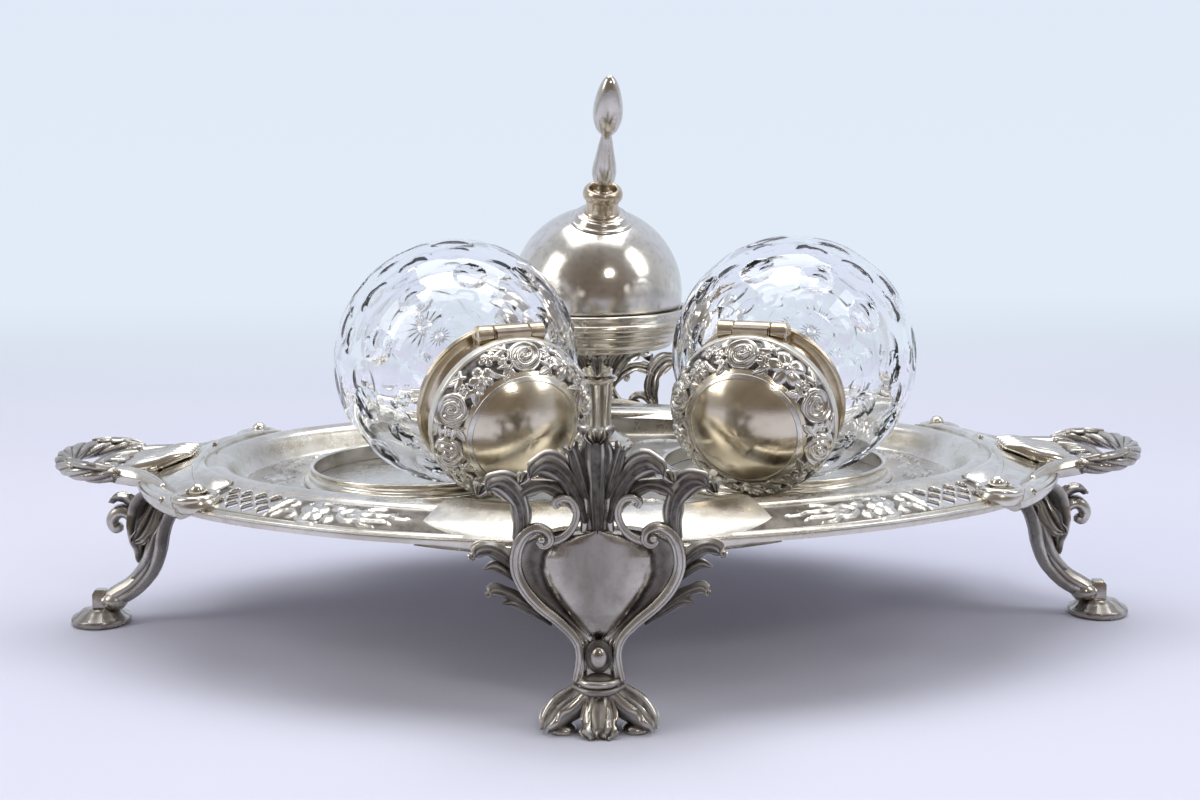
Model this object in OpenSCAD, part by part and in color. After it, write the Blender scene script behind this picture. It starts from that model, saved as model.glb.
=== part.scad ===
/* [Tray] */
// Half length of the ridge round the basin
ridge_half_x = 121; // [112:1:130]
// Half depth of the ridge round the basin
ridge_half_y = 76; // [75.5:0.5:78]
// Radius of the ridge at the two ends
ridge_end_r = 56; // [54:0.5:60]
// Height of the basin floor above the table
floor_z = 47; // [44:0.5:52]
// Height of the ridge above the basin floor
ridge_rise = 8; // [7:0.25:8.25]
// Width of the sloping border
border_w = 20; // [17:0.5:23]
// Drop of the border from the ridge to the rim
border_drop = 6; // [5:0.25:7]
// Sheet thickness of the tray
sheet = 1.3; // [1:0.1:2]
// Reach of the plain front and back lobes from the centre
lobe_reach = 99; // [96:0.5:101]
// Half angle of a lobe, seen from the centre
lobe_half_angle = 31; // [24:1:34]
// Width of one pierced diamond
diamond_w = 4.6; // [4:0.1:4.8]

/* [Wells] */
// Distance from the centre to each well
well_x = 56; // [55:0.25:57]
// Inner radius of a well ring
well_r = 34.5; // [34:0.25:35]
// Thickness of the standing lip of a well ring
well_lip = 1.4; // [1:0.1:1.8]
// Height of the standing lip above the basin floor
well_rise = 5; // [4.5:0.25:5.25]
// Width of the stepped flange of a well ring
well_flange = 2; // [1.4:0.1:2.4]

/* [Inkwells] */
// Radius of the glass ball
ball_r = 38.3; // [36:0.1:39]
// Radius of the hollow inside the glass ball
hollow_r = 29; // [25:0.5:32]
// Distance from the ball centre down to the flat base
base_cut = 34.5; // [32:0.5:36]
// Outer radius of the glass neck
glass_neck_r = 15.5; // [13:0.5:16]
// Bore radius of the glass neck
neck_bore_r = 11; // [8:0.5:12]
// Height of the mount rim above the top of the ball
neck_rise = 2.7; // [1.7:0.1:4.7]
// Outer radius of the lid
lid_r = 25; // [23:0.25:25.5]
// Radius of the plain dome in the lid
lid_dome_r = 18.4; // [16:0.2:20]
// Height of the lid above its seat
lid_h = 19; // [16:0.5:21]
// How far the left inkwell lies off its well centre to the right
left_shift_x = 12; // [11:0.25:12.5]
// How far the right inkwell lies off its well centre to the right
right_shift_x = 6; // [5:0.25:7]
// How far the left inkwell lies forward of its well centre
left_forward = 8; // [7.75:0.25:8.5]
// How far the right inkwell lies forward of its well centre
right_forward = 6; // [5.5:0.25:6.5]
// Angle by which a lying inkwell points below the horizontal
droop = 15; // [14:0.25:15.25]
// Angle by which the left inkwell points inward
left_aim = 26; // [23:1:28]
// Angle by which the right inkwell points inward
right_aim = 22; // [20:1:26]

/* [Lid hinge] */
// Radius of the hinge pin
pin_r = 1.1; // [0.8:0.1:1.4]
// Outer radius of a hinge knuckle
knuckle_r = 3; // [2.4:0.1:3.2]
// Full width of the hinge
hinge_w = 21; // [17:0.5:23]
// Width of the middle knuckle
middle_w = 11; // [8:0.5:12]
// Running gap round the pin
pin_fit = 0.05; // [0.03:0.01:0.1]

/* [Column and bell] */
// Distance of the column behind the centre
column_y = 48; // [47.5:0.25:49]
// Height of the dish rim above the table
dish_z = 95.7; // [93:0.1:99]
// Radius of the dish rim
dish_r = 32.6; // [32.4:0.1:33]
// Height of the dish
dish_h = 13.4; // [12.5:0.1:14.5]
// Radius of the column shaft at its foot
shaft_r = 5; // [4:0.1:6]
// Radius of the knop on the column
knop_r = 5.9; // [5:0.1:7]
// Number of flutes in the shaft
flute_count = 10; // [6:1:12]
// Outer radius of the bell
bell_r = 29.2; // [28:0.1:29.4]
// Wall of the bell
bell_wall = 1.4; // [1:0.1:2]
// Height of the bell centre above the dish rim
bell_rise = 5.2; // [4.6:0.1:6]
// Angle by which the bell leans to the front
bell_lean = 22; // [18:0.5:22]
// Angle by which the bell leans to the right
bell_side = 4; // [0:0.5:5]
// Length of the bell handle above its socket
handle_len = 43; // [38:0.5:46]

/* [Legs and handles] */
// Height of the front and back legs
leg_h = 83; // [78:0.5:86]
// Width of the front and back legs across their leaves
leg_w = 67; // [60:1:72]
// Distance from the centre to the pads of the end legs
pad_x = 161; // [158:0.5:164]
// Radius of the pads of the end legs
pad_r = 9.5; // [8:0.5:11]
// Reach of the handles from the centre
handle_x = 173; // [170:0.5:176]
// Half width of a handle loop
handle_half_w = 23; // [20:0.5:26]
// Radius of the roped bar of a handle
rope_r = 3; // [2.4:0.1:3.6]

/* [Fits] */
// Gap between pieces that only rest on each other
rest_gap = 0.3; // [0.2:0.05:0.4]
// Gap between pieces that are fastened together
joint_gap = 0.1; // [0.05:0.01:0.15]

/* [Hidden] */

silver = [0.69, 0.67, 0.60];
dark_silver = [0.45, 0.42, 0.37];
crystal = [0.85, 0.90, 0.95, 0.5];

// Turned pieces are round at this many facets
$fn = 96;
// Facets of the small beads that cast ornament is made of
bead_fn = 8;

// The ridge is an oval of four arcs: two ends and two long sides
end_x = ridge_half_x - ridge_end_r;
side_k = ridge_half_y - ridge_end_r;
side_y = (end_x * end_x - side_k * side_k) / (2 * side_k);
side_r = side_y + ridge_half_y;
join_angle = atan2(side_y, end_x);
ridge_z = floor_z + ridge_rise;
rim_z = ridge_z - border_drop;
floor_under = floor_z - sheet;
floor_inset = ridge_rise + 1;
// The arcs of the border end this far short of each other, under a soldered strap
seam_angle = 0.1;
strap_angle = 1;
strap_grow = 0.12;

// Distance between the diamonds of the pierced lattice
lattice_pitch = 6;

// Inkwell places and poses
seat_z = ball_r + neck_rise;
ball_z = floor_z + rest_gap + ball_r;
lay = 90 + droop;
mount_flange_r = 23.6;
mount_neck_r = 18.5;
mount_gap = 0.1;
lid_gap = rest_gap;
lid_base_z = seat_z + lid_gap;
lid_rim_h = 3;
lid_band_z = lid_base_z + lid_rim_h;
lid_dome_z = lid_band_z + 7.8;
lid_top_z = seat_z + lid_h;
lid_wall = 1.4;
hinge_y = lid_r - 1;
hinge_z = seat_z - knuckle_r - 0.6;
knuckle_gap = 0.2;

// Column stack, from the floor up
base_h = 6;
knop_h = 10.4;
collar_h = 1.8;
dish_under_z = dish_z - dish_h;
knop_z = dish_under_z - knop_h;
shaft_top_z = knop_z - collar_h;
shaft_foot_z = floor_z + base_h;
rod_r = 1.5;
rod_head_h = 1.6;
dish_floor = 4.3;
dish_wall = 1.2;

// Bell, measured from the centre of its dome along its leaning axis
bell_z = dish_z + bell_rise;
bell_mouth = 3;
bell_bore_r = 2;
crown_z = bell_r;
flange_r = 10.8;
flange_z = sqrt(bell_r * bell_r - flange_r * flange_r);
collar_r = 6;
collar_z = crown_z + 1.2;
stem_r = bell_bore_r - joint_gap;
stem_end_z = crown_z - bell_wall - 3.4;
eye_plate = 1;
eye_z = stem_end_z - eye_plate - 2.6;
eye_wire_r = 0.7;
clapper_r = 4;
// The clapper is long enough to stand on the dish floor and prop the leaning bell
eye_height = bell_z + eye_z * cos(bell_lean) * cos(bell_side) - dish_under_z - dish_floor;
clapper_len = (eye_height - rest_gap) / cos(bell_side);
clapper_bar_r = 1.1;

// Cast legs
leg_y = lobe_reach + joint_gap;
screw_r = 1.3;
screw_head_r = 2.4;
// Depth of the screw seats under the rim
screw_head_z = 9.2;
end_leg_x = ridge_half_x + border_w;
// Where the handles butt against the shoulders
handle_root_x = end_leg_x + 9.4;
// Half angle of the shell over each end, seen from the centre of the end arc
shoulder_angle = 43;

// Outline of the ridge moved outward by d, as one face
module oval(d) {
    join_x = end_x + (ridge_end_r + d) * cos(join_angle);
    for (s = [-1, 1])
        translate([s * end_x, 0])
            circle(r = ridge_end_r + d);
    intersection() {
        translate([0, -side_y])
            circle(r = side_r + d, $fn = 240);
        translate([0, side_y])
            circle(r = side_r + d, $fn = 240);
        square([2 * join_x, 4 * ridge_half_y], center = true);
    }
}

// Sections, drawn as distance from the ridge and height, carried round the oval: the first
// along its four arcs, the second as a narrow strap where two arcs meet
module carry_round() {
    for (s = [0, 180])
        rotate([0, 0, s]) {
            translate([end_x, 0, 0]) {
                rotate([0, 0, seam_angle - join_angle])
                    rotate_extrude(angle = 2 * (join_angle - seam_angle))
                        translate([ridge_end_r, 0])
                            children(0);
                for (a = [-join_angle, join_angle])
                    rotate([0, 0, a - strap_angle / 2])
                        rotate_extrude(angle = strap_angle)
                            translate([ridge_end_r, 0])
                                children(1);
            }
            translate([0, -side_y, 0])
                rotate([0, 0, join_angle + seam_angle / 2])
                    rotate_extrude(angle = 180 - 2 * join_angle - seam_angle, $fn = 240)
                        translate([side_r, 0])
                            children(0);
        }
}

// Section of the sheet from the basin floor over the ridge to the rolled rim, thicker by grow
module border_section(grow) {
    w = border_w;
    t = sheet;
    f = floor_inset;
    g = grow;
    polygon([
        [-f - g, floor_under - g], [-f * 0.86, floor_under - g],
        [-f * 0.56, floor_z + ridge_rise * 0.3 - g], [-f * 0.33, ridge_z - 2.2 - g],
        [0, ridge_z - t - g], [3.5, ridge_z - 0.7 - t - g],
        [w * 0.55, rim_z + border_drop * 0.45 - t - g], [w - 2, rim_z - t - g],
        [w - 1, rim_z - 0.4 - t - g], [w + g, rim_z - t - g], [w + 0.4 + g, rim_z - 0.5],
        [w + g, rim_z + 0.3 + g], [w - 1.2, rim_z + 0.4 + g], [w - 2, rim_z + g],
        [w * 0.55, rim_z + border_drop * 0.45 + g], [5, ridge_z - 1.6 + g],
        [4, ridge_z - 0.7 + g], [1.4, ridge_z + g], [-1.2, ridge_z - 0.1 + g],
        [-f * 0.4, ridge_z - 1.6 + g], [-f * 0.69, floor_z + ridge_rise * 0.26 + g],
        [-f * 0.9, floor_z + g], [-f - g, floor_z + g]
    ]);
}

// Plain pillowed lobe that covers the border in the middle of a long side
module lobe() {
    r = lobe_reach;
    difference() {
        rotate([0, 0, -90 - lobe_half_angle])
            rotate_extrude(angle = 2 * lobe_half_angle, $fn = 160)
                polygon([
                    [r - 34, rim_z + 2], [r - 3, rim_z - 2.6], [r - 1, rim_z - 2.8], [r, rim_z - 2],
                    [r, rim_z - 1], [r - 1.4, rim_z - 0.6], [r - 5, rim_z + 2.4],
                    [r - 12, rim_z + 5.4], [r - 20, rim_z + 6.8], [r - 34, rim_z + 6.8]
                ]);
        translate([0, 0, floor_under - 10])
            linear_extrude(40)
                oval(2);
    }
}

// Places a piece on the border, at a distance along it from where end and side arcs meet
module at_border(along, out) {
    on_end = along < 0;
    r = on_end ? ridge_end_r : side_r;
    translate(on_end ? [end_x, 0, 0] : [0, -side_y, 0])
        rotate([0, 0, join_angle + along / (r + border_w / 2) * 180 / PI])
            translate([r + out, 0, 0])
                children();
}

// Staggered diamonds pierced through the border in a lattice near each end
module lattice_holes() {
    for (sx = [-1, 1], sy = [-1, 1], row = [-1 : 1], c = [-1.5 : 1 : 1.5])
        if (abs(row) == 1 || c < 1)
            scale_side(sx, sy)
                at_border((c + (row == 0 ? 0.5 : 0)) * lattice_pitch, border_w / 2 + row * lattice_pitch / 2)
                    translate([0, 0, rim_z - 6])
                        cylinder(d = diamond_w, h = border_drop + 12, $fn = 4);
}

module scale_side(sx, sy) {
    mirror([sx < 0 ? 1 : 0, 0, 0])
        mirror([0, sy < 0 ? 1 : 0, 0])
            children();
}

module tray() {
    color(silver)
        difference() {
            union() {
                carry_round() {
                    border_section(0);
                    border_section(strap_grow);
                }
                translate([0, 0, floor_under])
                    linear_extrude(sheet)
                        oval(0.5 - floor_inset);
                lobe();
                rotate([0, 0, 180])
                    lobe();
            }
            lattice_holes();
            translate([0, column_y, floor_under - 1])
                cylinder(r = rod_r + joint_gap, h = sheet + 2);
        }
}

// Stepped flange and standing lip that keep an inkwell in its place
module well_ring(side) {
    lip_r = well_r + well_lip;
    flange_out = lip_r + well_flange;
    color(silver)
        translate([side * well_x, 0, floor_z])
            rotate_extrude()
                polygon([
                    [well_r, 0], [flange_out, 0], [flange_out, 0.7], [flange_out - 0.6, 1.2],
                    [lip_r + 0.4, 1.5], [lip_r + 0.2, 2.3], [lip_r - 0.3, 3],
                    [lip_r - 0.3, well_rise - 1], [lip_r, well_rise - 0.6],
                    [lip_r - 0.4, well_rise], [well_r + 0.4, well_rise], [well_r, well_rise - 0.5]
                ]);
}

module left_well_ring() {
    well_ring(-1);
}

module right_well_ring() {
    well_ring(1);
}

// A tapering scroll through a list of points, each with the radius of the bar there
module scroll(points) {
    for (i = [0 : len(points) - 2])
        hull() {
            translate([points[i][0], points[i][1], points[i][2]])
                sphere(r = points[i][3], $fn = bead_fn);
            translate([points[i + 1][0], points[i + 1][1], points[i + 1][2]])
                sphere(r = points[i + 1][3], $fn = bead_fn);
        }
}

// One pointed leaf that rises from its root and curls forward at the tip
module leaf(root_x, root_z, tip_x, tip_z, bend, out, thick) {
    steps = 5;
    scroll([
        for (i = [0 : steps])
            let (k = i / steps)
                [
                    root_x + (tip_x - root_x) * k + bend * sin(180 * k),
                    -out * k * k,
                    root_z + (tip_z - root_z) * k,
                    thick * (1 - 0.62 * k)
                ]
    ]);
}

// Cartouche leg, seen from outside: foot, waist, shield, C-scrolls and leaves
module cartouche_leg() {
    half = leg_w / 2;
    shield_w = 22;
    shield_z = 37;
    color(dark_silver)
        translate([0, -leg_y, 0])
            difference() {
                union() {
                    // Foot of three lobes
                    for (s = [-1, 0, 1])
                        hull() {
                            translate([s * 9.5, -4 + abs(s) * 1.5, 1.6])
                                scale([1.3, 1, 0.5])
                                    sphere(r = 5.2, $fn = 14);
                            translate([s * 3, -2.5, 6])
                                sphere(r = 2.6, $fn = bead_fn);
                        }
                    // Waist with its bead
                    hull() {
                        translate([0, -2.6, 6])
                            sphere(r = 4, $fn = bead_fn);
                        translate([0, -2.6, 20])
                            sphere(r = 5, $fn = bead_fn);
                    }
                    translate([0, -6, 19])
                        sphere(r = 3, $fn = 14);
                    // Bare convex shield
                    hull() {
                        translate([0, -2.8, 22])
                            sphere(r = 3.4, $fn = bead_fn);
                        for (s = [-1, 1]) {
                            translate([s * shield_w * 0.42, -2.8, shield_z - 2])
                                sphere(r = 2.7, $fn = bead_fn);
                            translate([s * shield_w * 0.4, -2.8, shield_z + 13])
                                sphere(r = 2.7, $fn = bead_fn);
                        }
                        translate([0, -4.6, shield_z + 4])
                            scale([1.4, 0.5, 1.6])
                                sphere(r = 6, $fn = 20);
                    }
                    for (s = [-1, 1])
                        scale_side(s, 1) {
                            // Long S-scroll from the waist round the shield
                            scroll([
                                [5, -3.5, 15, 2.4], [8.5, -4, 22, 2.6], [14.5, -4.3, 28, 2.7],
                                [18.5, -4.3, 34.5, 2.7], [20, -4.3, 42, 2.6], [18, -4.4, 48.5, 2.4],
                                [14, -4.6, 52, 2.2], [10.6, -4.8, 50, 1.9], [11, -4.8, 46.8, 1.7]
                            ]);
                            // Inner C-scroll above the shield
                            scroll([
                                [15, -4, 52, 1.8], [12, -4, 58, 1.9], [12.6, -4, 64, 1.9],
                                [16, -4.2, 68, 1.9], [19.4, -4.6, 68.6, 2.2]
                            ]);
                            // Curled leaves beside the crown
                            scroll([
                                [16, -3.4, 50, 3.2], [20.5, -4, 55, 3.4], [22.4, -4.6, 60.5, 3.4],
                                [25.4, -5.6, 65.5, 3], [29.6, -7, 66.6, 2.4]
                            ]);
                            // Side leaves
                            leaf(17, 42, half - 1.6, 50.5, 1.5, 4, 3.4);
                            leaf(18, 38, half - 4.6, 44.5, 1.5, 4, 3);
                            leaf(16, 32, half - 6, 38, 1.5, 3.6, 2.8);
                            leaf(12, 27, half - 9, 33.5, 1, 3, 2.6);
                        }
                    // Crown of five acanthus leaves
                    leaf(0, 52, 0, leg_h - 1.2, 0, 6, 4.6);
                    for (s = [-1, 1]) {
                        leaf(s * 4, 53, s * 5.4, leg_h - 6.5, s * 1.4, 5, 3.6);
                        leaf(s * 6, 53, s * 9, leg_h - 14, s * 1.6, 5, 3.2);
                    }
                    // Lug under the rim for the screw
                    translate([-6, -4, rim_z - 9])
                        cube([12, 12, 8]);
                }
                // Flat sole and clear back
                translate([-60, -40, -20])
                    cube([120, 80, 20]);
                translate([-60, 0, rim_z - 2.9])
                    cube([120, 60, 60]);
                translate([0, 4, 0])
                    cylinder(r = screw_r + joint_gap, h = rim_z, $fn = 24);
            }
}

module front_leg() {
    cartouche_leg();
}

module back_leg() {
    rotate([0, 0, 180])
        cartouche_leg();
}

// Scrolled end leg with its leaf and its round pad
module end_leg(side) {
    x = end_leg_x;
    color(dark_silver)
        scale_side(side, 1)
            difference() {
                union() {
                    scroll([
                        [x - 6, 0, rim_z - 6, 5], [x - 1, 0, rim_z - 11, 5.6], [x + 1.4, 0, rim_z - 19, 5],
                        [x + 1.6, 0, 24, 4.2], [x + 4, 0, 17, 3.6], [x + 8.5, 0, 11, 3.4],
                        [pad_x - 5, 0, 8.4, 3.4], [pad_x, 0, 7.5, 3.6]
                    ]);
                    // Curled hook of the leaf
                    scroll([
                        [x + 2, 0, 30, 3.6], [x + 8, 0, 33.5, 3], [x + 12.5, 0, 37, 2.4],
                        [x + 14, 0, 40.5, 1.8]
                    ]);
                    for (s = [-1, 1])
                        scroll([
                            [x, s * 2, 36, 3], [x + 2.5, s * 6, 33, 2.6], [x + 5, s * 8.5, 28, 1.8]
                        ]);
                    translate([pad_x, 0, 0])
                        cylinder(r1 = pad_r - 0.8, r2 = pad_r, h = 2, $fn = 32);
                    translate([pad_x, 0, 2])
                        cylinder(r1 = pad_r, r2 = pad_r - 3, h = 3, $fn = 32);
                    translate([pad_x - 2.2, -2.2, 5])
                        cube([4.4, 4.4, 6.2]);
                    translate([x - 12, -5, rim_z - 8])
                        cube([12, 10, 8]);
                }
                // Clear of the rim of the tray and of the shoulder beside it
                translate([x - 40, -60, rim_z - 1.8])
                    cube([60, 120, 40]);
                translate([x + 0.1, -60, rim_z - 5])
                    cube([60, 120, 40]);
                translate([x - 8, 0, rim_z - 40])
                    cylinder(r = screw_head_r + joint_gap, h = 40 - screw_head_z + joint_gap, $fn = 24);
                translate([x - 8, 0, rim_z - 20])
                    cylinder(r = screw_r + joint_gap, h = 30, $fn = 24);
                translate([pad_x - 60, -40, -20])
                    cube([120, 80, 20]);
            }
}

module left_leg() {
    end_leg(-1);
}

module right_leg() {
    end_leg(1);
}

// Cast shell over the end of the border, with a volute at each end and a fluted root
module shoulder(side) {
    x = end_leg_x;
    color(silver)
        scale_side(side, 1)
            difference() {
                union() {
                    translate([end_x, 0, 0]) {
                        rotate([0, 0, -shoulder_angle])
                            rotate_extrude(angle = 2 * shoulder_angle)
                                translate([ridge_end_r, 0])
                                    polygon([
                                        [3.4, rim_z], [21, rim_z - 3], [22.8, rim_z - 2.4],
                                        [23.6, rim_z - 0.8], [23.2, rim_z + 1.4], [21.6, rim_z + 2.6],
                                        [19, rim_z + 2.8], [15, rim_z + 3.8], [10, rim_z + 5.6],
                                        [5.5, ridge_z + 1], [3.4, ridge_z + 0.6]
                                    ]);
                        for (a = [-shoulder_angle, shoulder_angle])
                            rotate([0, 0, a])
                                translate([ridge_end_r + 17.6, 0, rim_z]) {
                                    cylinder(r1 = 5.6, r2 = 4.6, h = 4.6, $fn = 32);
                                    translate([0, 0, 4.8])
                                        sphere(r = 3, $fn = 20);
                                }
                    }
                    for (a = [-2 : 2])
                        scroll([
                            [x + 7.6, a * 5.5, rim_z + 1, 3.4], [x + 2.6, a * 5, rim_z + 2.6, 3.2],
                            [x - 4.4, a * 4, rim_z + 4, 2.4]
                        ]);
                    for (s = [-1, 1])
                        scroll([
                            [x + 8.6, s * 14.5, rim_z + 2.8, 3.2], [x + 1.6, s * 19, rim_z + 1.8, 3.2],
                            [x - 5, s * 25, rim_z + 1, 2.6]
                        ]);
                }
                // Seat that follows the border of the tray
                translate([end_x, 0, 0])
                    rotate([0, 0, -join_angle])
                        rotate_extrude(angle = 2 * join_angle)
                            translate([ridge_end_r, 0])
                                polygon([
                                    [-40, rim_z - 20], [border_w + 0.6, rim_z - 20],
                                    [border_w + 0.6, rim_z + 0.6],
                                    [border_w * 0.55 + joint_gap, rim_z + border_drop * 0.45 + 0.5],
                                    [4.4, ridge_z - 0.2], [1.4, ridge_z + 0.3], [-40, ridge_z + 0.3]
                                ]);
                translate([x - 60, -60, rim_z - 4.8 - 40])
                    cube([120, 120, 40]);
                translate([handle_root_x - joint_gap, -60, 0])
                    cube([60, 120, 100]);
            }
}

module left_shoulder() {
    shoulder(-1);
}

module right_shoulder() {
    shoulder(1);
}

// Roped loop handle with its small inner scroll
module loop_handle(side) {
    root_x = end_leg_x + 12;
    loop_x = handle_x - rope_r;
    bars = 13;
    z0 = rim_z + 4;
    color(dark_silver)
        scale_side(side, 1)
            difference() {
                union() {
                    scroll([
                        for (i = [0 : bars])
                            let (a = -125 + 250 * i / bars)
                                [
                                    root_x + 2 + (loop_x - root_x - 2) * max(cos(a), -0.4),
                                    (handle_half_w - rope_r) * sin(a) * (abs(a) > 90 ? 0.9 : 1),
                                    z0 + 1.5 * cos(a),
                                    rope_r
                                ]
                    ]);
                    scroll([
                        [root_x - 1, -14, z0 - 1, 2.2], [root_x + 4, -9, z0 - 1, 2.1],
                        [root_x + 6.6, 0, z0 - 1, 2], [root_x + 4, 9, z0 - 1, 2.1],
                        [root_x - 1, 14, z0 - 1, 2.2]
                    ]);
                }
                translate([handle_root_x - 60, -60, 0])
                    cube([60, 120, 100]);
            }
}

module left_handle() {
    loop_handle(-1);
}

module right_handle() {
    loop_handle(1);
}

// Screws that hold the four legs up against the border
module leg_screws() {
    color(dark_silver)
        for (p = [[0, -leg_y + 4], [0, leg_y - 4], [end_leg_x - 8, 0], [8 - end_leg_x, 0]])
            translate([p[0], p[1], rim_z - screw_head_z - 1.6])
                union() {
                    cylinder(r = screw_head_r, h = 1.6);
                    cylinder(r = screw_r, h = screw_head_z - 2.8 + 1.6);
                }
}

module column_base() {
    color(silver)
        translate([0, column_y, floor_z])
            rotate_extrude()
                polygon([
                    [rod_r, 0], [12, 0], [12, 1.4], [11, 2.2], [10.2, 3.2], [8.4, 3.8],
                    [shaft_r + 1.2, base_h - 0.8], [shaft_r + 0.6, base_h], [rod_r, base_h]
                ]);
}

module column_shaft() {
    h = shaft_top_z - shaft_foot_z;
    color(silver)
        translate([0, column_y, shaft_foot_z])
            difference() {
                rotate_extrude()
                    polygon([
                        [rod_r, 0], [shaft_r, 0], [shaft_r - 0.3, h * 0.3],
                        [shaft_r + 0.3, h * 0.8], [shaft_r + 0.6, h], [rod_r, h]
                    ]);
                for (i = [0 : flute_count - 1])
                    rotate([0, 0, 360 * i / flute_count])
                        translate([shaft_r + 0.7, 0, 1.4])
                            cylinder(r = 1.1, h = h - 2.8, $fn = 20);
            }
}

module column_knop() {
    k = knop_h;
    color(silver)
        translate([0, column_y, shaft_top_z])
            rotate_extrude()
                polygon([
                    [rod_r, 0], [shaft_r + 1.6, 0], [shaft_r + 1.8, 0.9], [shaft_r, collar_h],
                    [knop_r - 0.7, collar_h + k * 0.14], [knop_r, collar_h + k * 0.3],
                    [knop_r - 0.5, collar_h + k * 0.45], [knop_r - 1.6, collar_h + k * 0.52],
                    [knop_r - 0.5, collar_h + k * 0.6], [knop_r, collar_h + k * 0.72],
                    [knop_r - 0.3, collar_h + k * 0.88], [knop_r - 1.4, collar_h + k],
                    [rod_r, collar_h + k]
                ]);
}

// Four acanthus brackets that spread under the dish
module column_leaves() {
    color(dark_silver)
        translate([0, column_y, 0])
            for (a = [0 : 90 : 270])
                rotate([0, 0, a])
                    difference() {
                        scroll([
                            [knop_r + 1.2, 0, knop_z + 2.6, 1], [knop_r + 3.2, 0, knop_z + 5, 1.9],
                            [knop_r + 6.4, 0, knop_z + 7.4, 2.4], [knop_r + 9.6, 0, knop_z + 8.4, 2.2]
                        ]);
                        translate([0, -10, dish_under_z])
                            cube([40, 20, 20]);
                        translate([0, 0, knop_z - 5])
                            cylinder(r = knop_r + joint_gap, h = knop_h + 10, $fn = 48);
                    }
}

module bell_dish() {
    r = dish_r;
    color(silver)
        translate([0, column_y, dish_under_z])
            rotate_extrude()
                polygon([
                    [rod_r, 0], [r - 7.6, 0], [r - 7, 0.6], [r - 7, 1.5], [r - 4.6, 2.2],
                    [r - 4.3, dish_floor], [6, dish_floor],
                    [6, dish_floor - rod_head_h - 0.3], [rod_r, dish_floor - rod_head_h - 0.3]
                ]);
}

// Flared rim of the dish, soldered to its floor
module dish_rim() {
    r = dish_r;
    h = dish_h;
    inner_r = r - dish_wall;
    color(silver)
        translate([0, column_y, dish_under_z])
            rotate_extrude()
                polygon([
                    [r - 6.6, dish_floor], [r - 4.3, dish_floor], [r - 3.2, 5.2], [r - 3.2, 6.2],
                    [r - 2, 6.6], [r - 1.6, 8], [r - 0.2, 8.6], [r, 9.4], [r - 0.2, 10.2],
                    [r - 0.6, 10.4], [r - 0.8, h - 0.4], [r - 1.2, h], [inner_r - 1.2, h - 0.2],
                    [inner_r - 1.8, 8], [inner_r - 4.4, dish_floor + 1]
                ]);
}

// Rod that clamps the dish and the column to the tray
module column_rod() {
    z0 = floor_under - 6;
    head_z = dish_under_z + dish_floor - rod_head_h - 0.3;
    color(dark_silver)
        translate([0, column_y, 0]) {
            translate([0, 0, z0])
                cylinder(r = rod_r - 0.02, h = head_z - z0);
            translate([0, 0, head_z])
                cylinder(r = 4, h = rod_head_h);
        }
}

module column_nut() {
    color(dark_silver)
        translate([0, column_y, floor_under - 4])
            difference() {
                union() {
                    cylinder(r = 4, h = 3.2, $fn = 6);
                    translate([0, 0, 3.2])
                        cylinder(r = 6, h = 0.8);
                }
                translate([0, 0, -1])
                    cylinder(r = rod_r, h = 6);
            }
}

// Puts a piece drawn on the z axis into the place of the leaning bell
module place_bell() {
    translate([0, column_y, bell_z])
        rotate([0, bell_side, 0])
            rotate([bell_lean, 0, 0])
                children();
}

module bell_dome() {
    color(silver)
        place_bell()
            difference() {
                union() {
                    sphere(r = bell_r);
                    translate([0, 0, -bell_mouth])
                        cylinder(r = bell_r, h = bell_mouth);
                }
                sphere(r = bell_r - bell_wall);
                translate([0, 0, -bell_r - 1])
                    cylinder(r = bell_r - bell_wall, h = bell_r + 1);
                translate([0, 0, -bell_r - 2 - bell_mouth])
                    cylinder(r = bell_r + 2, h = bell_r + 2);
                cylinder(r = bell_bore_r, h = bell_r + 2);
                translate([0, 0, bell_r - 0.5])
                    cylinder(r = 8, h = 2);
            }
}

module bell_flange() {
    color(silver)
        place_bell()
            difference() {
                translate([0, 0, flange_z - 0.3])
                    cylinder(r1 = flange_r, r2 = collar_r + 1, h = collar_z - flange_z + 0.3);
                sphere(r = bell_r + 0.02);
                cylinder(r = bell_bore_r, h = bell_r + 6);
            }
}

module bell_collar() {
    r = collar_r;
    color(silver)
        place_bell()
            translate([0, 0, collar_z])
                rotate_extrude()
                    polygon([
                        [bell_bore_r, 0], [r, 0], [r - 0.4, 0.8], [r - 0.4, 5], [r + 0.6, 5.6],
                        [r + 0.7, 7.4], [r + 0.2, 8.6], [r - 0.4, 9], [r - 1.4, 9], [r - 1.8, 6.5],
                        [r - 2.3, 6.1], [bell_bore_r, 6.1]
                    ]);
}

// Turned handle: foot, pear and bud, with the stem that runs down through the crown
module bell_handle() {
    z0 = collar_z + 6.2;
    k = handle_len;
    color(silver)
        place_bell()
            rotate_extrude()
                polygon([
                    [0, stem_end_z], [stem_r, stem_end_z], [stem_r, z0], [3, z0], [3.1, z0 + 1],
                    [2.1, z0 + 1.8], [2.2, z0 + 2.6], [3.4, z0 + k * 0.12], [4.05, z0 + k * 0.18],
                    [3.9, z0 + k * 0.24], [3.1, z0 + k * 0.34], [2.3, z0 + k * 0.44],
                    [1.8, z0 + k * 0.5], [2.2, z0 + k * 0.52], [3.6, z0 + k * 0.56],
                    [4.6, z0 + k * 0.62], [4.95, z0 + k * 0.69], [4.6, z0 + k * 0.78],
                    [3.7, z0 + k * 0.87], [2.5, z0 + k * 0.95], [1.2, z0 + k * 0.99], [0, z0 + k]
                ]);
}

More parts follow.
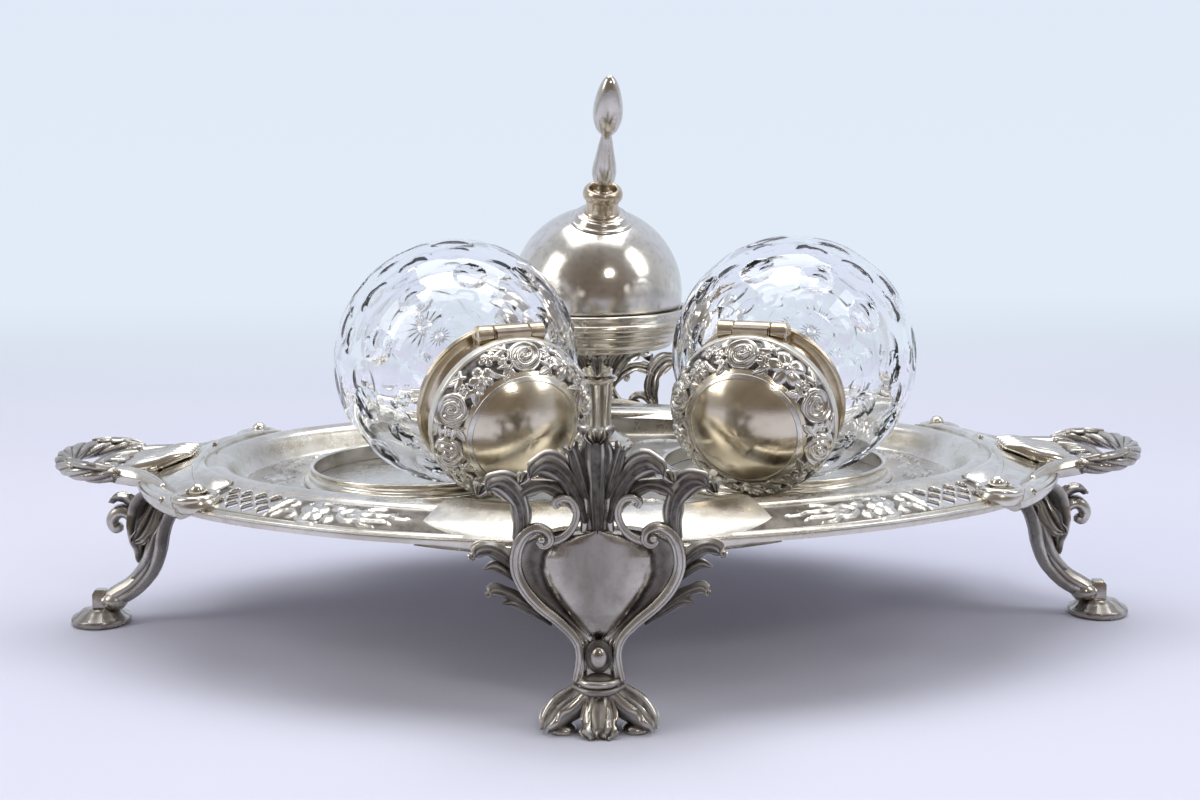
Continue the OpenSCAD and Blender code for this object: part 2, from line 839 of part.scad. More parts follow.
module bell_stem_nut() {
    z = crown_z - bell_wall;
    color(dark_silver)
        place_bell()
            difference() {
                translate([0, 0, z - 3.2])
                    cylinder(r = 4.4, h = 2.4, $fn = 6);
                cylinder(r = stem_r, h = bell_r);
            }
}

// Yoke under the stem that the clapper hangs from
module clapper_eye() {
    color(dark_silver)
        place_bell()
            union() {
                for (s = [-1, 1])
                    translate([s * 2.1 - 0.6, -1.6, eye_z - 1.6])
                        cube([1.2, 3.2, stem_end_z - eye_z + 1.6]);
                translate([0, 0, stem_end_z - eye_plate])
                    cylinder(r = 2.7, h = eye_plate);
                translate([-2.1, 0, eye_z])
                    rotate([0, 90, 0])
                        cylinder(r = eye_wire_r, h = 4.2);
            }
}

// The clapper hangs plumb from its eye
module place_clapper() {
    place_bell()
        translate([0, 0, eye_z])
            rotate([-bell_lean, 0, 0])
                children();
}

module clapper_rod() {
    color(dark_silver)
        place_clapper()
            union() {
                rotate([0, 90, 0])
                    difference() {
                        cylinder(r = 2, h = 2.4, center = true);
                        cylinder(r = eye_wire_r + pin_fit, h = 4, center = true);
                    }
                translate([0, 0, clapper_r * 2 - clapper_len - 1])
                    cylinder(r = clapper_bar_r, h = clapper_len - clapper_r * 2 - 0.6);
            }
}

module clapper_ball() {
    color(silver)
        place_clapper()
            difference() {
                translate([0, 0, clapper_r - clapper_len])
                    sphere(r = clapper_r);
                translate([0, 0, clapper_r * 2 - clapper_len - 1])
                    cylinder(r = clapper_bar_r, h = 20);
            }
}

// Puts a piece drawn upright on its ball centre into the place of a lying inkwell
module place_inkwell(side) {
    shift = side < 0 ? left_shift_x : right_shift_x;
    aim = side < 0 ? left_aim : -right_aim;
    forward = side < 0 ? left_forward : right_forward;
    translate([side * well_x + shift, -forward, ball_z])
        rotate([0, 0, aim])
            rotate([lay, 0, 0])
                children();
}

// Cut glass ball with a flat base, a short neck and two rows of thumb cuts
module glass_ball(side) {
    cuts = 12;
    cut_r = 14;
    cut_depth = 0.9;
    color(crystal)
        place_inkwell(side)
            difference() {
                union() {
                    sphere(r = ball_r);
                    cylinder(r = glass_neck_r, h = seat_z - 1);
                }
                sphere(r = hollow_r);
                cylinder(r = neck_bore_r, h = seat_z);
                translate([0, 0, -ball_r - 20])
                    cylinder(r = ball_r, h = 20 + ball_r - base_cut);
                for (row = [-1, 1], i = [0 : cuts - 1])
                    rotate([0, 0, 360 * (i + row / 4) / cuts])
                        rotate([0, -row * 24, 0])
                            translate([ball_r + cut_r - cut_depth, 0, 0])
                                sphere(r = cut_r, $fn = 40);
            }
}

module neck_mount(side) {
    r = mount_neck_r;
    g = mount_gap;
    f = mount_flange_r;
    inner = glass_neck_r + joint_gap;
    ball_at_flange = sqrt(ball_r * ball_r - f * f);
    ball_at_neck = sqrt(ball_r * ball_r - inner * inner);
    color(silver)
        place_inkwell(side)
            rotate_extrude()
                polygon([
                    [inner, ball_at_neck + 0.5], [f, ball_at_flange + 0.3 + g],
                    [f + 0.5, ball_at_flange + 0.7 + g], [f, ball_at_flange + 1.4 + g],
                    [f - 2.4, ball_at_flange + 2.2], [r + 0.8, ball_at_neck], [r, ball_at_neck + 1.6],
                    [r, seat_z - 1.6], [r + 0.9, seat_z - 1], [r + 0.9, seat_z], [r - 1.2, seat_z],
                    [r - 1.2, seat_z + 1.6], [inner, seat_z + 1.6]
                ]);
}

// Fixed outer knuckles of the lid hinge and the block that carries them
module hinge_block(side) {
    knuckle_w = (hinge_w - middle_w) / 2 - knuckle_gap;
    color(silver)
        place_inkwell(side)
            difference() {
                for (s = [0, 1])
                    mirror([s, 0, 0])
                        translate([middle_w / 2 + knuckle_gap, 0, 0]) {
                            translate([0, hinge_y, hinge_z])
                                rotate([0, 90, 0])
                                    cylinder(r = knuckle_r, h = knuckle_w);
                            translate([0, mount_neck_r - 4, hinge_z - knuckle_r])
                                cube([knuckle_w, hinge_y - mount_neck_r + 4, 2 * knuckle_r]);
                        }
                cylinder(r = mount_neck_r + joint_gap, h = seat_z + 10);
                // Clear of the lip and of the sloping foot of the mount
                translate([0, 0, seat_z - 1.8])
                    cylinder(r = mount_neck_r + 0.9 + joint_gap, h = 10);
                cylinder(r = mount_neck_r + 1.5, h = hinge_z);
                translate([-hinge_w, hinge_y, hinge_z])
                    rotate([0, 90, 0])
                        cylinder(r = pin_r, h = 2 * hinge_w);
                translate([0, 0, ball_cap_z()])
                    cylinder(r1 = mount_flange_r + 6, r2 = mount_flange_r - 2.6, h = 4.4);
            }
}

// Height at which the mount flange leaves the glass
function ball_cap_z() = sqrt(ball_r * ball_r - mount_flange_r * mount_flange_r) - 0.9;

module hinge_pin(side) {
    color(dark_silver)
        place_inkwell(side)
            translate([-hinge_w / 2, hinge_y, hinge_z])
                rotate([0, 90, 0])
                    cylinder(r = pin_r, h = hinge_w);
}

module lid_rim(side) {
    in_r = mount_neck_r + 0.9;
    color(silver)
        place_inkwell(side)
            translate([0, 0, lid_base_z])
                rotate_extrude()
                    polygon([
                        [in_r, 0], [lid_r - 0.4, 0], [lid_r, 0.5], [lid_r, lid_rim_h - 0.4],
                        [lid_r - 0.3, lid_rim_h], [in_r, lid_rim_h]
                    ]);
}

module lid_band(side) {
    r = lid_r;
    d = lid_dome_r;
    z1 = lid_band_z;
    z2 = lid_dome_z;
    t = lid_wall;
    color(dark_silver)
        place_inkwell(side)
            rotate_extrude()
                polygon([
                    [r - 0.4 - t, z1], [r - 0.4, z1], [r - 0.2, z1 + 1.6], [r - 1.2, z1 + 3.8],
                    [r - 3, z1 + 6], [d + 1.4, z2 - 0.2], [d + 0.4, z2], [d - t, z2 - 0.2],
                    [d - t, z2 - t], [r - 3.4 - t, z1 + 5.4], [r - 1.8 - t, z1 + 3.2]
                ]);
}

module lid_dome(side) {
    d = lid_dome_r;
    h = lid_top_z - lid_dome_z;
    cap_r = (d * d + h * h) / (2 * h);
    color(silver)
        place_inkwell(side)
            translate([0, 0, lid_dome_z])
                difference() {
                    intersection() {
                        translate([0, 0, h - cap_r])
                            sphere(r = cap_r);
                        cylinder(r = d, h = h + 1);
                    }
                    translate([0, 0, h - cap_r - lid_wall])
                        sphere(r = cap_r);
                }
}

// Moving knuckle of the hinge with its leaf under the lid
module lid_knuckle(side) {
    w = middle_w / 2;
    color(silver)
        place_inkwell(side)
            difference() {
                union() {
                    translate([-w, hinge_y, hinge_z])
                        rotate([0, 90, 0])
                            cylinder(r = knuckle_r, h = middle_w);
                    translate([-w, hinge_y - 1, hinge_z])
                        cube([middle_w, 4, lid_base_z + 2 - hinge_z]);
                }
                translate([-hinge_w, hinge_y, hinge_z])
                    rotate([0, 90, 0])
                        cylinder(r = pin_r + pin_fit, h = 2 * hinge_w);
                translate([0, 0, lid_base_z])
                    cylinder(r = lid_r, h = 10);
            }
}

module left_glass_ball() {
    glass_ball(-1);
}

module right_glass_ball() {
    glass_ball(1);
}

module left_neck_mount() {
    neck_mount(-1);
}

module right_neck_mount() {
    neck_mount(1);
}

module left_hinge_block() {
    hinge_block(-1);
}

module right_hinge_block() {
    hinge_block(1);
}

module left_hinge_pin() {
    hinge_pin(-1);
}

module right_hinge_pin() {
    hinge_pin(1);
}

module left_lid_rim() {
    lid_rim(-1);
}

module right_lid_rim() {
    lid_rim(1);
}

module left_lid_band() {
    lid_band(-1);
}

module right_lid_band() {
    lid_band(1);
}

module left_lid_dome() {
    lid_dome(-1);
}

module right_lid_dome() {
    lid_dome(1);
}

module left_lid_knuckle() {
    lid_knuckle(-1);
}

module right_lid_knuckle() {
    lid_knuckle(1);
}

tray();
left_well_ring();
right_well_ring();
front_leg();
back_leg();
left_leg();
right_leg();
left_shoulder();
right_shoulder();
left_handle();
right_handle();
leg_screws();
column_base();
column_shaft();
column_knop();
column_leaves();
bell_dish();
dish_rim();
column_rod();
column_nut();
bell_dome();
bell_flange();
bell_collar();
bell_handle();
bell_stem_nut();
clapper_eye();
clapper_rod();
clapper_ball();
left_glass_ball();
left_neck_mount();
left_hinge_block();
left_hinge_pin();
left_lid_rim();
left_lid_band();
left_lid_dome();
left_lid_knuckle();
right_glass_ball();
right_neck_mount();
right_hinge_block();
right_hinge_pin();
right_lid_rim();
right_lid_band();
right_lid_dome();
right_lid_knuckle();
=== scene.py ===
import math
import bpy
import bmesh
import numpy as np
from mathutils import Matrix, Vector


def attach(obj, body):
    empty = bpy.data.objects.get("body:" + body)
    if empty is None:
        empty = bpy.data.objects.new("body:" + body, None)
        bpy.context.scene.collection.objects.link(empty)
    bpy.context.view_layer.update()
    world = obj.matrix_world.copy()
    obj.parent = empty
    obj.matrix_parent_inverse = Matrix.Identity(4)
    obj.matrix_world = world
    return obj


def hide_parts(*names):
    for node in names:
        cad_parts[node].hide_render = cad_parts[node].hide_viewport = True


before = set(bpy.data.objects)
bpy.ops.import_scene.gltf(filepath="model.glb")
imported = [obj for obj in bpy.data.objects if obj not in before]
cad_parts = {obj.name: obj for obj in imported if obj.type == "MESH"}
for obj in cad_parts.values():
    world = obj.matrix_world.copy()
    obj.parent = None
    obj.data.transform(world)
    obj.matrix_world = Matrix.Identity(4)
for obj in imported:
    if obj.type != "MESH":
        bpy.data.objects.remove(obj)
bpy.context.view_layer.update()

# ---------------------------------------------------------------- sizes, in millimetres, as in the part's source
RHX, RHY, ER, FZ, RISE, BW, DROP, SHEET = 121.0, 76.0, 56.0, 47.0, 8.0, 20.0, 6.0, 1.3
LOBE_R, LOBE_A = 99.0, 31.0
WELL_X, WELL_R, WELL_LIP, WELL_FL = 56.0, 34.5, 1.4, 2.0
BALL_R, HOLLOW_R, BASE_CUT, GN_R, BORE_R, SEAT = 38.3, 29.0, 34.5, 15.5, 11.0, 41.0
LID_R, DOME_R, LID_H = 25.0, 18.4, 19.0
DROOP = 15.0
INK = {-1: (-WELL_X + 12, -8.0, 26.0), 1: (WELL_X + 6, -6.0, -22.0)}
PIN_R, KN_R, HW, MID_W = 1.1, 3.0, 21.0, 11.0
COL_Y, DISH_Z, DISH_R, DISH_H, SH_R, KNOP_R = 48.0, 95.7, 32.6, 13.4, 5.0, 5.9
BELL_R, BELL_WALL, BELL_RISE, LEAN, SIDE, HLEN = 29.2, 1.4, 5.2, 22.0, 4.0, 43.0
PAD_X, PAD_R, HANDLE_X, HHW, ROPE = 161.0, 9.5, 173.0, 23.0, 3.0
END_X = RHX - ER
SIDE_K = RHY - ER
SIDE_Y = (END_X ** 2 - SIDE_K ** 2) / (2 * SIDE_K)
SIDE_R = SIDE_Y + RHY
JOIN = math.atan2(SIDE_Y, END_X)
RIDGE_Z = FZ + RISE
RIM_Z = RIDGE_Z - DROP
BALL_Z = FZ + 0.3 + BALL_R
LAY = 90 + DROOP
LEG_Y = LOBE_R + 0.1
END_LEG = RHX + BW
BELL_Z = DISH_Z + BELL_RISE
CROWN = BELL_R


# ---------------------------------------------------------------- placing
def rot(axis, deg):
    a = math.radians(deg)
    c, s = math.cos(a), math.sin(a)
    m = np.eye(4)
    i, j = {"x": (1, 2), "y": (2, 0), "z": (0, 1)}[axis]
    m[i, i], m[i, j], m[j, i], m[j, j] = c, -s, s, c
    return m


def move(x, y, z):
    m = np.eye(4)
    m[:3, 3] = (x, y, z)
    return m


def mirror_x():
    m = np.eye(4)
    m[0, 0] = -1
    return m


def ink_place(side):
    x, y, aim = INK[side]
    return move(x, y, BALL_Z) @ rot("z", aim) @ rot("x", LAY)


BELL_PLACE = move(0, COL_Y, BELL_Z) @ rot("y", SIDE) @ rot("x", LEAN)
EYE_Z = CROWN - BELL_WALL - 3.4 - 1 - 2.6
CLAP_PLACE = BELL_PLACE @ move(0, 0, EYE_Z) @ rot("x", -LEAN)
EYE_H = BELL_Z + EYE_Z * math.cos(math.radians(LEAN)) * math.cos(math.radians(SIDE)) - (DISH_Z - DISH_H) - 4.3
CLAP_LEN = (EYE_H - 0.3) / math.cos(math.radians(SIDE))


def put(v, m):
    v = np.asarray(v, float)
    return v @ m[:3, :3].T + m[:3, 3]


# ---------------------------------------------------------------- meshes
class Part:
    """Gathers vertices, faces and the tone of each vertex of one piece, kept as the relief attribute; the material
    darkens where the tone is low, as painted shade and tarnish.
    """

    def __init__(self):
        self.v, self.f, self.r, self.n = [], [], [], 0

    def add(self, verts, faces, relief=None, place=None):
        verts = np.asarray(verts, float).reshape(-1, 3)
        if place is not None:
            verts = put(verts, place)
        self.v.append(verts)
        self.f.extend([tuple(int(i) + self.n for i in q) for q in faces])
        self.r.append(np.ones(len(verts)) if relief is None else np.asarray(relief, float).ravel())
        self.n += len(verts)
        return self


def grid_faces(nu, nv, wrap_u=False, wrap_v=False):
    out = []
    for i in range(nu if wrap_u else nu - 1):
        for j in range(nv if wrap_v else nv - 1):
            a, b = i * nv + j, ((i + 1) % nu) * nv + j
            c, d = ((i + 1) % nu) * nv + (j + 1) % nv, i * nv + (j + 1) % nv
            out.append((a, b, c, d))
    return out


def finish_piece(name, part, body, nodes, mat, sharp=38, merge=1e-6, closed=True):
    v = np.concatenate(part.v) * 0.001
    me = bpy.data.meshes.new(name)
    me.from_pydata(v.tolist(), [], part.f)
    at = me.attributes.new("relief", "FLOAT", "POINT")
    at.data.foreach_set("value", np.concatenate(part.r).astype(np.float32))
    bm = bmesh.new()
    bm.from_mesh(me)
    if merge:
        bmesh.ops.remove_doubles(bm, verts=bm.verts, dist=merge)
        bmesh.ops.dissolve_degenerate(bm, edges=bm.edges, dist=1e-7)
    if closed:
        bmesh.ops.recalc_face_normals(bm, faces=bm.faces)
    bm.to_mesh(me)
    bm.free()
    me.polygons.foreach_set("use_smooth", [True] * len(me.polygons))
    me.set_sharp_from_angle(angle=math.radians(sharp))
    ob = bpy.data.objects.new(name, me)
    bpy.context.scene.collection.objects.link(ob)
    me.materials.append(mat)
    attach(ob, body)
    if nodes:
        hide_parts(*nodes)
    return ob


def catmull(p, n):
    """A smooth line through the points, n steps to a span."""
    p = np.asarray(p, float)
    if len(p) < 3:
        t = np.linspace(0, 1, n + 1)[:, None]
        return p[0] * (1 - t) + p[-1] * t
    q = np.vstack([2 * p[0] - p[1], p, 2 * p[-1] - p[-2]])
    out = []
    for i in range(1, len(q) - 2):
        t = np.linspace(0, 1, n, endpoint=False)[:, None]
        a, b, c, d = q[i - 1], q[i], q[i + 1], q[i + 2]
        out.append(0.5 * ((2 * b) + (c - a) * t + (2 * a - 5 * b + 4 * c - d) * t ** 2 + (3 * b - a - 3 * c + d) * t ** 3))
    out.append(q[-2][None, :])
    return np.vstack(out)


def profile(points, n=6):
    """Smooth between corners; a point with a third value is a corner."""
    runs, run = [], []
    for p in points:
        run.append(p[:2])
        if len(p) > 2 and len(run) > 1:
            runs.append(run)
            run = [p[:2]]
    if len(run) > 1:
        runs.append(run)
    out = []
    for r in runs:
        c = catmull(r, n if len(r) > 2 else 2)
        out.append(c if not out else c[1:])
    return np.vstack(out)


def lathe(part, points, place=None, seg=128, n=6, relief=None, turn=360.0, start=0.0, raw=False):
    """Turns a profile of (radius, height) round the z axis. relief(angle, k) gives height and tone."""
    pr = np.asarray(points, float)[:, :2] if raw else profile(points, n)
    full = abs(turn - 360) < 1e-6
    m = seg if full else seg + 1
    ang = np.radians(start + np.arange(m) * turn / seg)
    pr_n = np.gradient(pr, axis=0)
    nrm = np.stack([pr_n[:, 1], -pr_n[:, 0]], 1)
    nrm /= np.maximum(np.linalg.norm(nrm, axis=1), 1e-9)[:, None]
    seglen = np.concatenate([[0], np.cumsum(np.linalg.norm(np.diff(pr, axis=0), axis=1))])
    A, K = np.meshgrid(ang, seglen, indexing="ij")
    R = np.repeat(pr[None, :, 0], m, 0)
    Z = np.repeat(pr[None, :, 1], m, 0)
    tone = np.ones_like(R)
    if relief is not None:
        h, tone = relief(A, K, R, Z)
        R = R + h * nrm[None, :, 0]
        Z = Z + h * nrm[None, :, 1]
    v = np.stack([R * np.cos(A), R * np.sin(A), Z], -1).reshape(-1, 3)
    part.add(v, grid_faces(m, len(pr), wrap_u=full), tone, place)
    return part


def frames(c):
    t = np.gradient(c, axis=0)
    t /= np.maximum(np.linalg.norm(t, axis=1), 1e-9)[:, None]
    n = np.zeros_like(c)
    up = np.array([0, 1, 0.0])
    if abs(t[0] @ up) > 0.9:
        up = np.array([0, 0, 1.0])
    n[0] = up - t[0] * (up @ t[0])
    n[0] /= np.linalg.norm(n[0])
    for i in range(1, len(c)):
        v = n[i - 1] - t[i] * (n[i - 1] @ t[i])
        n[i] = v / max(np.linalg.norm(v), 1e-9)
    return t, n, np.cross(t, n)


def sweep(part, pts, rad, place=None, n=6, seg=16, flat=1.0, reeds=0, reed=0.0, twist=0.0, rope=0,
    rope_h=0.0, closed=False, tone=1.0):
    """A bar swept along points. flat squeezes it across its normal; reeds are lengthwise grooves, rope twisted ones."""
    pts = np.asarray(pts, float)
    rr = np.asarray(rad if np.ndim(rad) else [rad] * len(pts), float)
    cr = catmull(np.hstack([pts, rr[:, None]]), n)
    c, r = cr[:, :3], np.maximum(cr[:, 3], 0.02)
    t, nn, bb = frames(c)
    L = np.concatenate([[0], np.cumsum(np.linalg.norm(np.diff(c, axis=0), axis=1))])
    a = np.linspace(0, 2 * math.pi, seg, endpoint=False)
    A, K = np.meshgrid(a, L, indexing="xy")
    R = r[:, None] * np.ones_like(A)
    sh = np.ones_like(A) * tone
    # the grooves of reeds and rope are painted darker than their crests: painted shade
    if reeds:
        g = np.abs(np.sin(reeds * A / 2 + twist * K))
        R = R * (1 - reed * (1 - g) ** 2 * 1.6)
        sh = np.clip(0.2 + 1.1 * g, 0, 1) * tone
    if rope:
        g = np.abs(np.sin(rope * A / 2 + twist * K))
        R = R * (1 - rope_h + rope_h * np.sqrt(g))
        sh = np.clip(g * 1.5, 0, 1) * tone
    ca, sa = np.cos(A) * R, np.sin(A) * R * flat
    v = c[:, None, :] + ca[..., None] * bb[:, None, :] + sa[..., None] * nn[:, None, :]
    m = len(c)
    faces = grid_faces(m, seg, wrap_v=True)
    verts = v.reshape(-1, 3)
    caps = np.vstack([c[0] - t[0] * r[0] * 0.5, c[-1] + t[-1] * r[-1] * 0.5])
    k = len(verts)
    for j in range(seg):
        faces.append((k, j, (j + 1) % seg))
        faces.append((k + 1, (m - 1) * seg + (j + 1) % seg, (m - 1) * seg + j))
    part.add(np.vstack([verts, caps]), faces, np.concatenate([sh.ravel(), [tone, tone]]), place)
    return part


def leaf(part, spine, width, place=None, side=(1, 0, 0), lobes=3, cut=0.32, cup=0.25, veins=5, thick=1.0,
    nu=34, nv=17, tip=0.1, tone=1.0, root=0.45):
    """An acanthus leaf along a spine, lobed at its edges, with a raised midrib and veins."""
    c = catmull(spine, max(3, nu // (len(spine) - 1)))
    t = np.gradient(c, axis=0)
    t /= np.maximum(np.linalg.norm(t, axis=1), 1e-9)[:, None]
    s = np.asarray(side, float)
    s = s[None, :] - t * (t @ s)[:, None]
    s /= np.maximum(np.linalg.norm(s, axis=1), 1e-9)[:, None]
    nrm = np.cross(s, t)
    m = len(c)
    u = np.linspace(0, 1, m)
    w = width * (root + (1 - root) * np.sin(np.pi * np.minimum(u / 0.62,
        1) / 2)) * np.sqrt(np.clip((1 - u) / (1 - 0.62), tip ** 2, 1))
    notch = 1 - cut * (0.5 + 0.5 * np.cos(2 * np.pi * lobes * u)) ** 2 * (u > 0.08)
    v = np.linspace(-1, 1, nv)
    U, V = np.meshgrid(u, v, indexing="ij")
    W = w[:, None] * (1 - (1 - notch[:, None]) * np.abs(V) ** 1.5)
    vein = np.cos(V * math.pi * veins + U * 2.0)
    mid = np.exp(-(V / 0.16) ** 2)
    h = cup * width * (V ** 2) * np.cos(U * 1.2) + 0.09 * width * vein * (1 - np.exp(-(V / 0.2) ** 2)) - 0.16 * width * mid
    fwd = 0.22 * width * np.abs(V) ** 1.3
    P = c[:, None, :] + s[:, None, :] * (W * V)[..., None] + t[:, None, :] * fwd[..., None]
    top = P - nrm[:, None, :] * h[..., None]
    th = thick * (0.25 + 0.75 * (1 - np.abs(V) ** 3)) * (0.45 + 0.55 * (1 - U ** 2))
    bot = P + nrm[:, None, :] * (th - h)[..., None]
    shade = np.clip(0.62 + 0.5 * vein * (np.abs(V) > 0.12) - 0.75 * mid + 0.25 * np.abs(V) ** 4, 0,
        1) * tone
    f1 = grid_faces(m, nv)
    k = m * nv
    f2 = [(d + k, c2 + k, b + k, a + k) for a, b, c2, d in f1]
    rim = []
    for i in range(m - 1):
        rim.append((i * nv, i * nv + k, (i + 1) * nv + k, (i + 1) * nv))
        rim.append(((i + 1) * nv + nv - 1, (i + 1) * nv + nv - 1 + k, i * nv + nv - 1 + k, i * nv + nv - 1))
    for j in range(nv - 1):
        rim.append((j + 1, j + 1 + k, j + k, j))
        e = (m - 1) * nv
        rim.append((e + j, e + j + k, e + j + 1 + k, e + j + 1))
    part.add(np.vstack([top.reshape(-1, 3), bot.reshape(-1, 3)]), f1 + f2 + rim,
        np.concatenate([shade.ravel(), shade.ravel() * 0.5]), place)
    return part


def ball(part, centre, r, place=None, nu=24, nv=14, tone=1.0):
    a = np.linspace(0, 2 * math.pi, nu, endpoint=False)
    b = np.linspace(0, math.pi, nv)
    A, B = np.meshgrid(a, b, indexing="ij")
    r = np.asarray(r if np.ndim(r) else [r, r, r], float)
    v = np.stack([np.cos(A) * np.sin(B) * r[0], np.sin(A) * np.sin(B) * r[1], np.cos(B) * r[2]],
        -1).reshape(-1, 3) + np.asarray(centre, float)
    part.add(v, grid_faces(nu, nv, wrap_u=True), np.full(len(v), tone), place)
    return part


# ---------------------------------------------------------------- relief drawn in a plane
def stroke(X, Y, pts, rad, h, n=6, ridge=False):
    """Height of a rounded stroke through points, with the radius given at each of them."""
    pts = np.asarray(pts, float)
    rr = np.asarray(rad if np.ndim(rad) else [rad] * len(pts), float)
    c = catmull(np.hstack([pts, rr[:, None]]), n)
    out = np.zeros_like(X)
    lo, hi = c[:, :2].min(0) - c[:, 2].max(), c[:, :2].max(0) + c[:, 2].max()
    sel = (X > lo[0]) & (X < hi[0]) & (Y > lo[1]) & (Y < hi[1])
    if not sel.any():
        return out
    x, y = X[sel], Y[sel]
    best = np.zeros_like(x)
    for p, q in zip(c[:-1], c[1:]):
        d = q[:2] - p[:2]
        k = np.clip(((x - p[0]) * d[0] + (y - p[1]) * d[1]) / max(d @ d, 1e-9), 0, 1)
        r = p[2] + (q[2] - p[2]) * k
        e = np.hypot(x - p[0] - k * d[0], y - p[1] - k * d[1]) / np.maximum(r, 1e-3)
        b = np.sqrt(np.clip(1 - e * e, 0, 1))
        if ridge:
            b = b * (0.75 + 0.25 * np.abs(np.cos(e * 4.5)))
        best = np.maximum(best, b * np.minimum(1, r / 0.5))
    out[sel] = best * h
    return out


def flower(X, Y, cx, cy, r, h, petals=5, turn=0.0, heart=0.3):
    dx, dy = X - cx, Y - cy
    rho = np.hypot(dx, dy) / r
    a = np.arctan2(dy, dx) + turn
    lob = np.abs(np.cos(a * petals / 2.0))
    edge = 0.62 + 0.38 * lob ** 0.7
    e = rho / edge
    body = np.sqrt(np.clip(1 - e ** 2.6, 0,
        1)) * (0.45 + 0.55 * lob ** 0.5) * (0.55 + 0.45 * np.clip(rho * 1.4, 0, 1))
    body *= 1 - 0.22 * np.exp(-((1 - lob) / 0.15) ** 2)
    c = np.sqrt(np.clip(1 - (rho / heart) ** 2, 0, 1))
    return h * np.maximum(body, c * 1.05)


def rose(X, Y, cx, cy, r, h, turn=0.0):
    dx, dy = X - cx, Y - cy
    rho = np.hypot(dx, dy) / r
    a = np.arctan2(dy, dx) + turn
    spiral = 0.5 + 0.5 * np.cos(2 * np.pi * (rho * 2.6 - a / (2 * np.pi)) + 0.9 * np.sin(2 * a))
    lim = np.clip((1.0 + 0.05 * np.cos(5 * a) - rho) / 0.1, 0, 1)
    return h * lim * (0.35 + 0.65 * spiral ** 0.7) * (1 - 0.15 * rho)


def curl2(cx, cy, r0, a0, turns, n=12, shrink=0.8):
    """Points of a spiral that winds in."""
    k = np.linspace(0, 1, n)
    a = np.radians(a0) + 2 * np.pi * turns * k
    r = r0 * (1 - shrink * k)
    return np.stack([cx + r * np.cos(a), cy + r * np.sin(a)], 1)


# ---------------------------------------------------------------- materials
def node(nt, kind, **kw):
    n = nt.nodes.new(kind)
    for k, v in kw.items():
        setattr(n, k, v)
    return n


